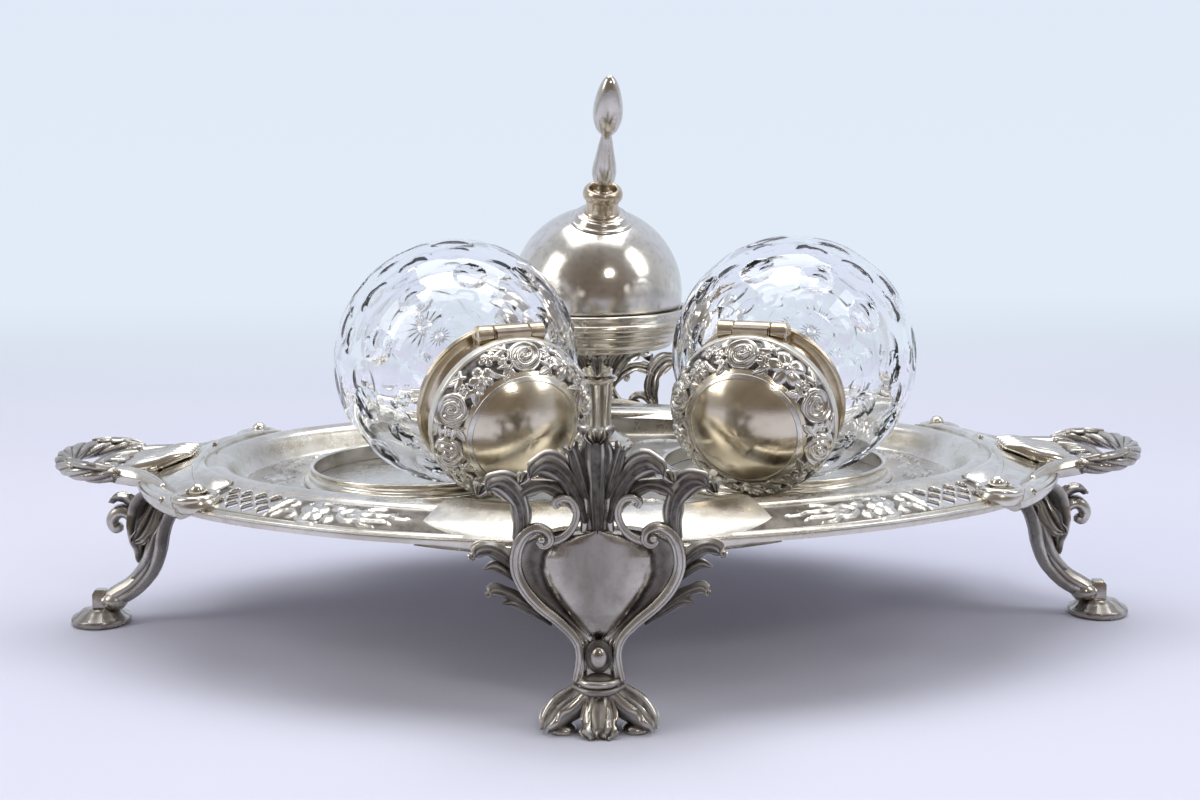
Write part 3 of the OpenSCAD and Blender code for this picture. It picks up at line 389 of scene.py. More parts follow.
def metal(name, bright, dull, dark, rough=0.16, rough_more=0.14, chase=0.0, recess_shade_and_tarnish=0.5, scratch=0.02,
    blotch=30.0):
    """Worn silver plate: tarnish in clouds, painted shade together with tarnish darkening the recesses of the relief,
    fine scratches and dents.
    """
    m = bpy.data.materials.new(name)
    m.use_nodes = True
    nt = m.node_tree
    b = nt.nodes["Principled BSDF"]
    b.inputs["Metallic"].default_value = 1.0
    tc = node(nt, "ShaderNodeTexCoord")
    L = nt.links.new

    def noise(scale, detail=3.0, rough_=0.55, dist=0.0, src=None):
        n = node(nt, "ShaderNodeTexNoise")
        n.inputs["Scale"].default_value = scale
        n.inputs["Detail"].default_value = detail
        n.inputs["Roughness"].default_value = rough_
        n.inputs["Distortion"].default_value = dist
        L(src or tc.outputs["Object"], n.inputs["Vector"])
        return n.outputs["Fac"]

    def ramp(src, p0, c0, p1, c1):
        r = node(nt, "ShaderNodeValToRGB")
        r.color_ramp.elements[0].position, r.color_ramp.elements[0].color = p0, (*c0, 1)
        r.color_ramp.elements[1].position, r.color_ramp.elements[1].color = p1, (*c1, 1)
        L(src, r.inputs["Fac"])
        return r.outputs["Color"]

    def mix(fac, a, c, mode="MIX"):
        x = node(nt, "ShaderNodeMix", data_type="RGBA", blend_type=mode)
        if isinstance(fac, float):
            x.inputs["Factor"].default_value = fac
        else:
            L(fac, x.inputs["Factor"])
        for s, v in (("A", a), ("B", c)):
            if isinstance(v, tuple):
                x.inputs[6 if s == "A" else 7].default_value = (*v, 1)
            else:
                L(v, x.inputs[6 if s == "A" else 7])
        return x.outputs[2]

    cloud = noise(blotch, 4.0, 0.6, 0.6)
    fine = noise(blotch * 9, 3.0, 0.6)
    base = ramp(cloud, 0.34, dull, 0.66, bright)
    speck = ramp(fine, 0.28, (0.72, 0.70, 0.66), 0.52, (1, 1, 1))
    col = mix(0.55, base, speck, "MULTIPLY")
    # the relief attribute holds each vertex's tone; where it is low the colour is mixed towards dark, as painted shade
    # in the recesses together with tarnish
    rel = node(nt, "ShaderNodeAttribute", attribute_name="relief")
    edge = ramp(rel.outputs["Fac"], 0.12, (1, 1, 1), 0.62, (0, 0, 0))
    em = node(nt, "ShaderNodeMath", operation="MULTIPLY")
    L(edge, em.inputs[0])
    L(ramp(fine, 0.2, (0.6, 0.6, 0.6), 0.7, (1, 1, 1)), em.inputs[1])
    gm = node(nt, "ShaderNodeMath", operation="MULTIPLY")
    L(em.outputs[0], gm.inputs[0])
    gm.inputs[1].default_value = recess_shade_and_tarnish
    col = mix(gm.outputs[0], col, dark)
    L(col, b.inputs["Base Color"])
    r1 = node(nt, "ShaderNodeMapRange")
    r1.inputs["To Min"].default_value = rough
    r1.inputs["To Max"].default_value = rough + rough_more
    r1.inputs["From Min"].default_value = 0.35
    r1.inputs["From Max"].default_value = 0.7
    L(noise(blotch * 2.3, 5.0, 0.65), r1.inputs["Value"])
    ra = node(nt, "ShaderNodeMath", operation="MULTIPLY_ADD")
    L(gm.outputs[0], ra.inputs[0])
    ra.inputs[1].default_value = 0.35
    L(r1.outputs["Result"], ra.inputs[2])
    L(ra.outputs[0], b.inputs["Roughness"])
    mp = node(nt, "ShaderNodeMapping")
    mp.inputs["Scale"].default_value = (1, 1, 7)
    L(tc.outputs["Object"], mp.inputs["Vector"])
    sc = noise(420, 2.0, 0.5, 0.2, mp.outputs["Vector"])
    de = noise(95, 2.0, 0.5)
    add = node(nt, "ShaderNodeMath", operation="MULTIPLY_ADD")
    L(sc, add.inputs[0])
    add.inputs[1].default_value = 0.25
    L(de, add.inputs[2])
    bp = node(nt, "ShaderNodeBump")
    bp.inputs["Strength"].default_value = 0.25
    bp.inputs["Distance"].default_value = scratch * 0.01
    L(add.outputs[0], bp.inputs["Height"])
    L(bp.outputs["Normal"], b.inputs["Normal"])
    return m


SILVER = metal("silver_plate", (0.78, 0.755, 0.69), (0.58, 0.545, 0.475), (0.10, 0.075, 0.055), 0.15, 0.12,
    recess_shade_and_tarnish=0.85)
TRAY = metal("silver_tray", (0.74, 0.715, 0.65), (0.55, 0.515, 0.45), (0.055, 0.042, 0.034), 0.2, 0.14,
    recess_shade_and_tarnish=0.9)
CAST = metal("silver_cast", (0.60, 0.575, 0.53), (0.36, 0.33, 0.295), (0.035, 0.028, 0.026), 0.2, 0.16,
    recess_shade_and_tarnish=0.95, blotch=48.0)
CHASED = metal("silver_chased", (0.74, 0.72, 0.67), (0.50, 0.475, 0.43), (0.03, 0.025, 0.024), 0.17, 0.12,
    recess_shade_and_tarnish=1.0, blotch=60.0)
LIDM = metal("silver_lid", (0.74, 0.68, 0.55), (0.62, 0.545, 0.42), (0.2, 0.14, 0.09), 0.16, 0.09,
    recess_shade_and_tarnish=0.5, blotch=22.0)
RIMM = metal("silver_rim", (0.84, 0.815, 0.735), (0.74, 0.70, 0.61), (0.2, 0.15, 0.1), 0.26, 0.1, recess_shade_and_tarnish=0.6)
MOUNT = metal("silver_mount", (0.68, 0.60, 0.47), (0.46, 0.37, 0.26), (0.05, 0.03, 0.02), 0.16, 0.12,
    recess_shade_and_tarnish=0.9)
BELLM = metal("silver_bell", (0.74, 0.715, 0.665), (0.56, 0.525, 0.47), (0.11, 0.08, 0.06), 0.13, 0.14,
    recess_shade_and_tarnish=0.85, blotch=42.0)
STEEL = metal("fastener_metal", (0.42, 0.39, 0.34), (0.26, 0.23, 0.19), (0.05, 0.04, 0.03), 0.28, 0.15)


def crystal():
    m = bpy.data.materials.new("cut_crystal")
    m.use_nodes = True
    nt = m.node_tree
    b = nt.nodes["Principled BSDF"]
    b.inputs["Base Color"].default_value = (0.985, 0.992, 1.0, 1)
    b.inputs["Transmission Weight"].default_value = 1.0
    b.inputs["IOR"].default_value = 1.53
    tc = node(nt, "ShaderNodeTexCoord")
    n = node(nt, "ShaderNodeTexNoise")
    n.inputs["Scale"].default_value = 160
    nt.links.new(tc.outputs["Object"], n.inputs["Vector"])
    mr = node(nt, "ShaderNodeMapRange")
    mr.inputs["From Min"].default_value, mr.inputs["From Max"].default_value = 0.55, 0.8
    mr.inputs["To Min"].default_value, mr.inputs["To Max"].default_value = 0.0, 0.05
    nt.links.new(n.outputs["Fac"], mr.inputs["Value"])
    nt.links.new(mr.outputs["Result"], b.inputs["Roughness"])
    bp = node(nt, "ShaderNodeBump")
    bp.inputs["Strength"].default_value = 0.12
    bp.inputs["Distance"].default_value = 0.0002
    n2 = node(nt, "ShaderNodeTexNoise")
    n2.inputs["Scale"].default_value = 70
    nt.links.new(tc.outputs["Object"], n2.inputs["Vector"])
    nt.links.new(n2.outputs["Fac"], bp.inputs["Height"])
    nt.links.new(bp.outputs["Normal"], b.inputs["Normal"])
    tr = node(nt, "ShaderNodeBsdfTransparent")
    tr.inputs["Color"].default_value = (0.86, 0.88, 0.92, 1)
    lp = node(nt, "ShaderNodeLightPath")
    mx = node(nt, "ShaderNodeMixShader")
    nt.links.new(lp.outputs["Is Shadow Ray"], mx.inputs["Fac"])
    nt.links.new(b.outputs["BSDF"], mx.inputs[1])
    nt.links.new(tr.outputs["BSDF"], mx.inputs[2])
    nt.links.new(mx.outputs["Shader"], nt.nodes["Material Output"].inputs["Surface"])
    return m


CRYSTAL = crystal()


# ---------------------------------------------------------------- tray
def around(n_end=120, n_side=170):
    """Points round the ridge with their outward directions."""
    pts = []
    for k in np.linspace(-JOIN, JOIN, n_end, endpoint=False):
        pts.append((END_X + ER * math.cos(k), ER * math.sin(k), math.cos(k), math.sin(k)))
    for k in np.linspace(JOIN, math.pi - JOIN, n_side, endpoint=False):
        pts.append((SIDE_R * math.cos(k), SIDE_R * math.sin(k) - SIDE_Y, math.cos(k), math.sin(k)))
    a = np.array(pts)
    return np.vstack([a, -a])


def to_border(x, y):
    """Distance out from the ridge, and along it from the joint of the arcs, for points in any quarter."""
    ax, ay = np.abs(x), np.abs(y)
    on_end = (ax - END_X) * math.sin(JOIN) - ay * math.cos(JOIN) > 0
    de = np.hypot(ax - END_X, ay) - ER
    ds = np.hypot(ax, ay + SIDE_Y) - SIDE_R
    ae = (np.arctan2(ay, ax - END_X) - JOIN) * (ER + BW / 2)
    as_ = (np.arctan2(ay + SIDE_Y, ax) - JOIN) * (SIDE_R + BW / 2)
    return np.where(on_end, de, ds), np.where(on_end, ae, as_)


def border_xy(along, out):
    on_end = along < 0
    r = np.where(on_end, ER, SIDE_R)
    a = JOIN + along / (r + BW / 2)
    return np.where(on_end, END_X, 0) + (r + out) * np.cos(a), np.where(on_end, 0,
        -SIDE_Y) + (r + out) * np.sin(a)


F_IN = RISE + 1
TOP_LINE = profile([(-F_IN - 0.6, FZ), (-F_IN * 0.9, FZ), (-F_IN * 0.69, FZ + RISE * 0.26),
    (-F_IN * 0.4, RIDGE_Z - 1.6), (-1.2, RIDGE_Z - 0.1), (1.4, RIDGE_Z),
                    (4, RIDGE_Z - 0.7), (5, RIDGE_Z - 1.6), (BW * 0.55, RIM_Z + DROP * 0.45),
                        (BW - 2, RIM_Z)], 8)


def chased(L, O):
    """Relief of the border, over the length along it and the distance out from the ridge."""
    h = np.zeros_like(L)
    for d, w in ((4.9, 0.55), (16.6, 0.6)):
        h = np.maximum(h, 0.45 * np.sqrt(np.clip(1 - ((O - d) / w) ** 2, 0, 1)))
    h = np.maximum(h, stroke(L, O, [(11, 14.8), (12.6, 11), (13.8, 7.4), (16.4, 6.2), (18, 8), (16.9, 9.8)],
        [0.6, 0.9, 1.0, 0.9, 0.8, 0.5], 0.9, ridge=True))
    h = np.maximum(h, stroke(L, O, [(13.6, 15), (15.4, 12.2), (18.6, 11.6), (20.4, 13.4), (19, 14.8)],
        [0.5, 0.8, 0.9, 0.7, 0.5], 0.8, ridge=True))
    h = np.maximum(h, flower(L, O, 25.6, 10.8, 4.7, 1.25, 5, 0.4))
    for x, y, r, t in ((32.2, 8.0, 2.3, 0.2), (31.6, 13.4, 2.1, 1.1)):
        h = np.maximum(h, flower(L, O, x, y, r, 0.8, 5, t))
    for s in (1, -1):
        y = lambda v: 11 + s * (v - 11)
        h = np.maximum(h, stroke(L, O, [(34, y(11.5)), (37, y(13.6)), (40.5, y(13)), (43, y(15)),
            (47, y(15.4))], [0.9, 1.2, 0.9, 0.8, 0.35], 0.8, ridge=True))
        h = np.maximum(h, stroke(L, O, [(36.6, y(11.2)), (40, y(11.6)), (44, y(12.6)), (48, y(12.4)),
            (51.4, y(13.6))], [0.5, 0.9, 1.0, 0.8, 0.3], 0.7, ridge=True))
        h = np.maximum(h, stroke(L, O, [(20.6, y(9.6)), (22.6, y(6.8)), (27, y(6)), (30.2, y(7))],
            [0.3, 0.55, 0.55, 0.3], 0.55))
    h = np.maximum(h, stroke(L, O, [(45, 10.6), (49, 9.6), (53, 11), (56.5, 10.2)], [0.4, 0.9, 0.8, 0.2],
        0.6, ridge=True))
    # scrolls on the end, mostly under the shell
    for a0 in (-17, -25, -33):
        h = np.maximum(h, stroke(L, O, curl2(a0, 10.6, 4.2, 120, 1.2), np.linspace(1.0, 0.5, 12), 0.8,
            ridge=True))
    return h


HOLES = [((c + (0.5 if row == 0 else 0)) * 6.0, 10 + 3.0 * row) for row in (-1, 0, 1) for c in (-1.5, -0.5,
    0.5, 1.5) if row or c < 1]


def border_height(out):
    return np.interp(out, TOP_LINE[:, 0], TOP_LINE[:, 1])


def tray_piece():
    part = Part()
    step = 0.6
    half = 4 * step
    for sx in (1, -1):
        for sy in (1, -1):
            # one quarter, along the border from the middle of the end to the middle of the side
            l0 = -(JOIN) * (ER + BW / 2)
            l1 = (math.pi / 2 - JOIN) * (SIDE_R + BW / 2)
            n0, n1 = int(round(-l0 / step)), int(round(l1 / step))
            ls = np.concatenate([np.linspace(l0, -11.4, max(2, n0 - 19))[:-1],
                np.arange(-11.4, 11.41, step), np.linspace(11.4, l1, max(2, n1 - 19))[1:]])
            os_ = np.concatenate([TOP_LINE[TOP_LINE[:, 0] < 4.0][:, 0], np.arange(4.0, 16.01, step),
                [16.6, 17.2, 18.0]])
            O, L = np.meshgrid(os_, ls, indexing="xy")
            h = chased(L, O)
            z = border_height(O)
            edge = np.clip((O - 4.4) / 0.8, 0, 1) * np.clip((17.4 - O) / 0.8, 0, 1)
            h = h * edge
            # painted shade: the chased ground between the relief is painted near black, rising to full tone on the
            # raised relief; the pierced lattice is made a little darker
            tone = np.where(edge > 0.3, np.clip(0.05 + h / 0.55, 0, 1), 1.0)
            lat = (np.abs(L) < 11.6) & (O > 5.4) & (O < 15.4)
            tone = np.where(lat, 0.75, tone)
            h = np.where(lat, 0.25, h)
            X, Y = border_xy(L, O)
            V = np.stack([X * sx, Y * sy, z + h], -1).reshape(-1, 3)
            nu, nv = L.shape
            faces = []
            hol = np.array(HOLES)
            for i in range(nu - 1):
                lm = 0.5 * (ls[i] + ls[i + 1])
                for j in range(nv - 1):
                    om = 0.5 * (os_[j] + os_[j + 1])
                    a, b, c, d = i * nv + j, (i + 1) * nv + j, (i + 1) * nv + j + 1, i * nv + j + 1
                    if abs(lm) < 11.5 and 4.6 < om < 15.6:
                        k = np.argmin(np.abs(hol[:, 0] - lm) + np.abs(hol[:, 1] - om))
                        dl, do = lm - hol[k, 0], om - hol[k, 1]
                        e = abs(dl) + abs(do)
                        if e < half - 0.7 * step:
                            continue
                        if e < half + 0.7 * step:
                            quads = ((a, b, c), (a, c, d)) if dl * do < 0 else ((a, b, d), (b, c, d))
                            for t in quads:
                                tl = np.mean([ls[v // nv] for v in t]) - hol[k, 0]
                                to = np.mean([os_[v % nv] for v in t]) - hol[k, 1]
                                if abs(tl) + abs(to) > half:
                                    faces.append(t)
                            continue
                    faces.append((a, b, c, d))
            part.add(V, faces, tone)
    return part


def floor_relief(X, Y):
    h = np.zeros_like(X)
    ax = np.abs(X)
    # leafy scrolls beside the wells at both ends and round the foot of the column
    for s in (1, -1):
        yy = Y * s
        for pts, rad in (
            ([(97, 6), (101, 12), (100, 20), (94, 26), (88, 27), (86, 24)], [0.5, 1.1, 1.5, 1.4, 1.0, 0.5]),
            ([(103, 8), (106, 15), (104, 24), (98, 32), (90, 37)], [0.5, 1.0, 1.2, 1.0, 0.4]),
            ([(96, 30), (90, 33), (84, 34), (78, 38), (72, 44), (64, 47)], [0.5, 1.1, 1.3, 1.2, 0.9, 0.3]),
            ([(78, 40), (82, 44), (80, 48), (74, 48)], [0.5, 0.9, 0.8, 0.3]),
        ):
            h = np.maximum(h, stroke(ax, yy, pts, rad, 0.9, ridge=True))
        h = np.maximum(h, flower(ax, yy, 97.5, 24.0, 4.2, 1.0, 6, 0.3))
        h = np.maximum(h, flower(ax, yy, 84.5, 38.5, 3.0, 0.8, 5, 0.7))
    h = np.maximum(h, flower(ax, Y, 102.5, 0.0, 5.4, 1.1, 6, 0.0))
    for pts, rad in (
        ([(2, 30), (6, 26), (12, 25), (16, 28), (15, 32), (11, 32)], [0.5, 1.0, 1.3, 1.2, 0.9, 0.4]),
        ([(3, 27), (8, 20), (15, 17), (21, 20), (22, 25)], [0.5, 1.1, 1.3, 1.1, 0.4]),
        ([(16, 37), (22, 36), (28, 40), (36, 47), (44, 52)], [0.5, 1.2, 1.3, 1.0, 0.3]),
        ([(14, 52), (20, 56), (28, 55), (33, 58)], [0.6, 1.1, 1.0, 0.3]),
        ([(2, -12), (8, -18), (15, -19), (18, -14), (14, -11)], [0.5, 1.0, 1.2, 1.0, 0.4]),
        ([(2, -30), (9, -36), (18, -38), (26, -46), (34, -52)], [0.5, 1.2, 1.3, 1.0, 0.3]),
        ([(1, -24), (5, -44), (4, -56)], [0.5, 1.3, 0.4]),
    ):
        h = np.maximum(h, stroke(ax, Y, pts, rad, 0.9, ridge=True))
    h = np.maximum(h, flower(ax, Y, 0.0, -27.0, 5.0, 1.1, 6, 0.3))
    h = np.maximum(h, flower(ax, Y, 24.0, 30.5, 3.6, 0.9, 5, 0.5))
    return h


def floor_piece():
    part = Part()
    step = 0.8
    xs = np.arange(-RHX + 6, RHX - 6 + step, step)
    ys = np.arange(-RHY + 5, RHY - 5 + step, step)
    X, Y = np.meshgrid(xs, ys, indexing="ij")
    D, _ = to_border(X, Y)
    keep = D < -F_IN + 1.4
    h = floor_relief(X, Y)
    ring = np.minimum(np.hypot(X - WELL_X, Y), np.hypot(X + WELL_X, Y))
    h = np.where(ring < WELL_R + WELL_LIP + WELL_FL + 1.2, 0, h)
    h = np.where(np.hypot(X, Y - COL_Y) < 13, 0, h)
    h = np.where(D > -F_IN - 0.4, 0, h)
    field = (ring > WELL_R + WELL_LIP + WELL_FL + 0.6) & (D < -F_IN - 0.2)
    stip = 0.5 + 0.5 * np.sin(X * 5.1) * np.sin(Y * 5.3 + X * 0.9)
    # the ground is darker than the raised relief, with a stippled matting pattern; the flanks of the relief are painted
    # dark as shade, and a band just inside each well ring is painted dark as the shade under the ring and the glass
    # ball
    tone = np.where(field, np.clip(0.42 + 0.15 * stip + h / 0.7, 0, 1), 0.9)
    tone = np.where((h > 0.02) & (h < 0.35), 0.12, tone)
    tone = np.where((ring < WELL_R) & (ring > WELL_R - 6), 0.35, tone)
    V = np.stack([X, Y, FZ + h], -1).reshape(-1, 3)
    nu, nv = X.shape
    idx = np.arange(nu * nv).reshape(nu, nv)
    k4 = keep[:-1, :-1] & keep[1:, :-1] & keep[1:, 1:] & keep[:-1, 1:]
    faces = np.stack([idx[:-1, :-1][k4], idx[1:, :-1][k4], idx[1:, 1:][k4], idx[:-1, 1:][k4]], 1)
    part.add(V, faces, tone)
    return part


def solidify(ob, t, offset=-1.0):
    m = ob.modifiers.new("sheet", "SOLIDIFY")
    m.thickness = t * 0.001
    m.offset = offset
    return ob


border = tray_piece()
finish_piece("tray_border", border, "stand", ["tray"], TRAY, sharp=50, merge=2e-5)
solidify(bpy.data.objects["tray_border"], SHEET)
fl = finish_piece("tray_floor", floor_piece(), "stand", [], TRAY, sharp=60, closed=False)
for p in fl.data.polygons[:1]:
    if p.normal.z < 0:
        fl.data.flip_normals()
solidify(fl, SHEET)

rim = Part()
ring = around()
rim_line = [(16.9, RIM_Z - 1.2), (18.2, RIM_Z - 1.3), (19.2, RIM_Z - 1.7), (20.0, RIM_Z - 1.5),
    (20.4, RIM_Z - 0.6), (20.2, RIM_Z + 0.2), (19.5, RIM_Z + 0.45), (18.7, RIM_Z + 0.35), (18.0, RIM_Z),
    (16.9, RIM_Z + 0.3)]
rl = np.array(rim_line)
N = len(ring)
V = np.stack([ring[:, None, 0] + ring[:, None, 2] * rl[None, :, 0],
    ring[:, None, 1] + ring[:, None, 3] * rl[None, :, 0], np.repeat(rl[None, :, 1], N, 0)], -1)
rim.add(V.reshape(-1, 3), grid_faces(N, len(rl), True, True), np.full(N * len(rl), 0.85))
for s in (0, 180):
    lathe(rim, [(LOBE_R - 27, RIM_Z + 3.4), (LOBE_R - 3, RIM_Z - 2.6), (LOBE_R - 1, RIM_Z - 2.8),
        (LOBE_R, RIM_Z - 2), (LOBE_R, RIM_Z - 1), (LOBE_R - 1.4, RIM_Z - 0.6, 1),
                (LOBE_R - 2.0, RIM_Z + 0.2), (LOBE_R - 5, RIM_Z + 2.6), (LOBE_R - 12, RIM_Z + 5.6),
                    (LOBE_R - 16.4, RIM_Z + 6.9, 1), (LOBE_R - 18.6, RIM_Z + 6.7),
                    (LOBE_R - 22, RIM_Z + 6.2), (LOBE_R - 27, RIM_Z + 3.4)],
          rot("z", s), seg=90, turn=2 * LOBE_A, start=-90 - LOBE_A)
finish_piece("tray_rim", rim, "stand", [], TRAY, sharp=50)

# ---------------------------------------------------------------- wells
for side, nm in ((-1, "left"), (1, "right")):
    p = Part()
    lr = WELL_R + WELL_LIP
    fo = lr + WELL_FL
    lathe(p, [(WELL_R, FZ + 0.1, 1), (fo, FZ + 0.1, 1), (fo + 0.05, FZ + 0.5), (fo - 0.5, FZ + 1.2),
        (lr + 0.5, FZ + 1.5, 1), (lr + 0.35, FZ + 2.2), (lr - 0.25, FZ + 2.9), (lr - 0.35, FZ + 3.9),
              (lr - 0.05, FZ + 4.3), (lr, FZ + 4.6), (lr - 0.3, FZ + 4.98), (WELL_R + 0.5, FZ + 5.0),
                  (WELL_R + 0.05, FZ + 4.6), (WELL_R, FZ + 4.2), (WELL_R, FZ + 0.1)],
          move(side * WELL_X, 0, 0), seg=200)
    finish_piece(nm + "_well_ring_look", p, "stand", [nm + "_well_ring"], SILVER, sharp=60)

# ---------------------------------------------------------------- column
CB = move(0, COL_Y, 0)
p = Part()
lathe(p, [(1.5, FZ + 0.05, 1), (12, FZ + 0.05, 1), (12.1, FZ + 0.8), (11.7, FZ + 1.5), (11, FZ + 1.9),
    (10.4, FZ + 3.0), (8.8, FZ + 3.7), (7.2, FZ + 4.6), (6.1, FZ + 5.3), (5.7, FZ + 6, 1), (1.5, FZ + 6)],
    CB, seg=96)
finish_piece("column_foot", p, "stand", ["column_base"], SILVER, sharp=50)
shaft0, shaft1 = FZ + 6, DISH_Z - DISH_H - 10.4 - 1.8
p = Part()


def flutes(A, K, R, Z):
    u = np.clip((Z - shaft0) / (shaft1 - shaft0), 0, 1)
    env = np.clip(np.minimum(u, 1 - u) / 0.09, 0, 1) ** 0.5 * (R > 3)
    g = np.abs(np.cos(5 * A))
    # the flute grooves are painted darker: painted shade
    return -0.62 * g * env, np.clip(1.1 - 0.95 * g * env, 0, 1)


lathe(p, [(1.5, shaft0 + 0.02, 1), (SH_R + 0.1, shaft0 + 0.02,
    1)] + [(SH_R + 0.1 - 0.35 * math.sin(math.pi * min(1, k / 14)) + 0.5 * (k / 20) ** 2,
    shaft0 + (shaft1 - shaft0) * k / 20) for k in range(21)] + [(SH_R + 0.6, shaft1 - 0.02, 1),
    (1.5, shaft1 - 0.02)],
      CB, seg=160, n=2, relief=flutes)
finish_piece("fluted_shaft", p, "stand", ["column_shaft"], SILVER, sharp=55)
p = Part()
k = 10.4
z0 = shaft1
lathe(p, [(1.5, z0, 1), (SH_R + 1.6, z0, 1), (SH_R + 1.85, z0 + 0.5), (SH_R + 1.7, z0 + 1.1),
    (SH_R + 0.1, z0 + 1.8, 1), (KNOP_R - 0.7, z0 + 1.8 + k * 0.14), (KNOP_R, z0 + 1.8 + k * 0.3),
    (KNOP_R - 0.5, z0 + 1.8 + k * 0.45),
          (KNOP_R - 1.6, z0 + 1.8 + k * 0.52, 1), (KNOP_R - 0.5, z0 + 1.8 + k * 0.6),
              (KNOP_R, z0 + 1.8 + k * 0.72), (KNOP_R - 0.3, z0 + 1.8 + k * 0.88),
              (KNOP_R - 1.4, z0 + 1.8 + k, 1), (1.5, z0 + 1.8 + k)], CB, seg=96)
finish_piece("knop", p, "stand", ["column_knop"], SILVER, sharp=45)
p = Part()
kz = DISH_Z - DISH_H - 10.4
for a in range(4):
    m = CB @ rot("z", 90 * a)
    leaf(p, [(KNOP_R + 0.7, 0, kz + 1.8), (KNOP_R + 2.6, 0, kz + 4.6), (KNOP_R + 5.4, 0, kz + 7.2),
        (KNOP_R + 9.0, 0, kz + 8.9), (KNOP_R + 12.0, 0, kz + 8.4)], 3.2, m, side=(0, 1, 0), lobes=3,
        thick=1.4, nu=24, nv=13)
    leaf(p, [(KNOP_R + 0.3, 0, kz + 3.6), (KNOP_R + 2.2, 0, kz + 6.4), (KNOP_R + 4.4, 0, kz + 8.6),
        (KNOP_R + 6.6, 0, kz + 9.4)], 2.6, m @ rot("z", 45), side=(0, 1, 0), lobes=2, thick=1.2, nu=20,
        nv=11)
finish_piece("bracket_leaves", p, "stand", ["column_leaves"], CAST, sharp=55)
p = Part()
d0, r = DISH_Z - DISH_H, DISH_R
lathe(p, [(1.5, d0, 1), (r - 7.6, d0, 1), (r - 7.0, d0 + 0.5), (r - 7.0, d0 + 1.4, 1), (r - 5.6, d0 + 1.7),
    (r - 4.5, d0 + 2.8), (r - 4.2, d0 + 4.4, 1), (r - 3.3, d0 + 4.9), (r - 3.1, d0 + 5.6),
    (r - 3.3, d0 + 6.2, 1),
          (r - 2.2, d0 + 6.5), (r - 1.7, d0 + 7.9, 1), (r - 0.5, d0 + 8.3), (r - 0.02, d0 + 9.2),
              (r - 0.3, d0 + 10.1), (r - 0.7, d0 + 10.4, 1), (r - 0.9, d0 + 11.6), (r - 0.75, d0 + 12.8),
              (r - 1.2, d0 + 13.38),
          (r - 2.0, d0 + 13.3), (r - 2.5, d0 + 12.6), (r - 3.0, d0 + 8), (r - 4.6, d0 + 5.8),
              (r - 6.8, d0 + 4.3, 1), (6, d0 + 4.3, 1), (6, d0 + 2.5, 1), (1.5, d0 + 2.5)], CB, seg=180)
finish_piece("column_dish", p, "stand", ["bell_dish", "dish_rim"], SILVER, sharp=45)

# ---------------------------------------------------------------- bell
B = BELL_PLACE


def bell_skin(A, K, R, Z):
    h = 0.05 * np.sin(3 * A + 1) * np.sin(Z * 0.23) + 0.035 * np.sin(7 * A + 2) * np.sin(Z * 0.5 + 1) + 0.05 * np.sin(2 * A - Z * 0.1)
    return h * (R > 9), np.ones_like(R)


p = Part()
ri = BELL_R - BELL_WALL
arc = [(BELL_R * math.cos(t), BELL_R * math.sin(t)) for t in np.linspace(0, math.acos(8.0 / BELL_R), 26)]
ins = [(ri * math.cos(t), ri * math.sin(t)) for t in np.linspace(math.acos(2.0 / ri), 0, 20)]
lathe(p, [(BELL_R - 0.35, -3.0, 1), (BELL_R - 0.02, -2.6), (BELL_R - 0.02, -1.6),
    (BELL_R - 0.25, -1.1)] + arc + [(8.0, CROWN - 1.6, 1), (2.0, CROWN - 0.55, 1)] + ins + [(ri, -2.9, 1),
    (BELL_R - 0.35, -3.0)], B, seg=160, n=2, relief=bell_skin)
finish_piece("bell_shell", p, "bell", ["bell_dome"], BELLM, sharp=50)
fz = math.sqrt(BELL_R ** 2 - 10.8 ** 2)
cz = CROWN + 1.2
p = Part()
lathe(p, [(10.75, fz + 0.12, 1), (10.8, fz + 0.5), (10.3, fz + 0.95), (9.6, fz + 1.05, 1), (9.3, fz + 1.5),
    (8.6, cz - 0.75), (7.4, cz - 0.3), (7.0, cz - 0.02, 1), (2.0, cz - 0.02, 1), (2.0, CROWN + 0.25, 1),
    (6, math.sqrt(BELL_R ** 2 - 36) + 0.22), (10.75, fz + 0.12)], B, seg=110)
finish_piece("crown_flange", p, "bell", ["bell_flange"], BELLM, sharp=45)
p = Part()
c = 6.0
lathe(p, [(2.0, cz + 0.02, 1), (c, cz + 0.02, 1), (c + 0.02, cz + 0.5), (c - 0.35, cz + 0.9, 1),
    (c - 0.55, cz + 2.8), (c - 0.4, cz + 4.9, 1), (c + 0.35, cz + 5.3), (c + 0.68, cz + 6.2),
    (c + 0.62, cz + 7.4), (c + 0.15, cz + 8.5),
          (c - 0.5, cz + 8.98), (c - 1.2, cz + 8.9), (c - 1.55, cz + 8.2), (c - 1.8, cz + 6.6),
              (c - 2.3, cz + 6.1, 1), (2.0, cz + 6.1, 1), (2.0, cz + 0.02)], B, seg=96)
finish_piece("handle_collar", p, "bell", ["bell_collar"], MOUNT, sharp=45)
p = Part()
z0, k = cz + 6.2, HLEN
se = CROWN - BELL_WALL - 3.4
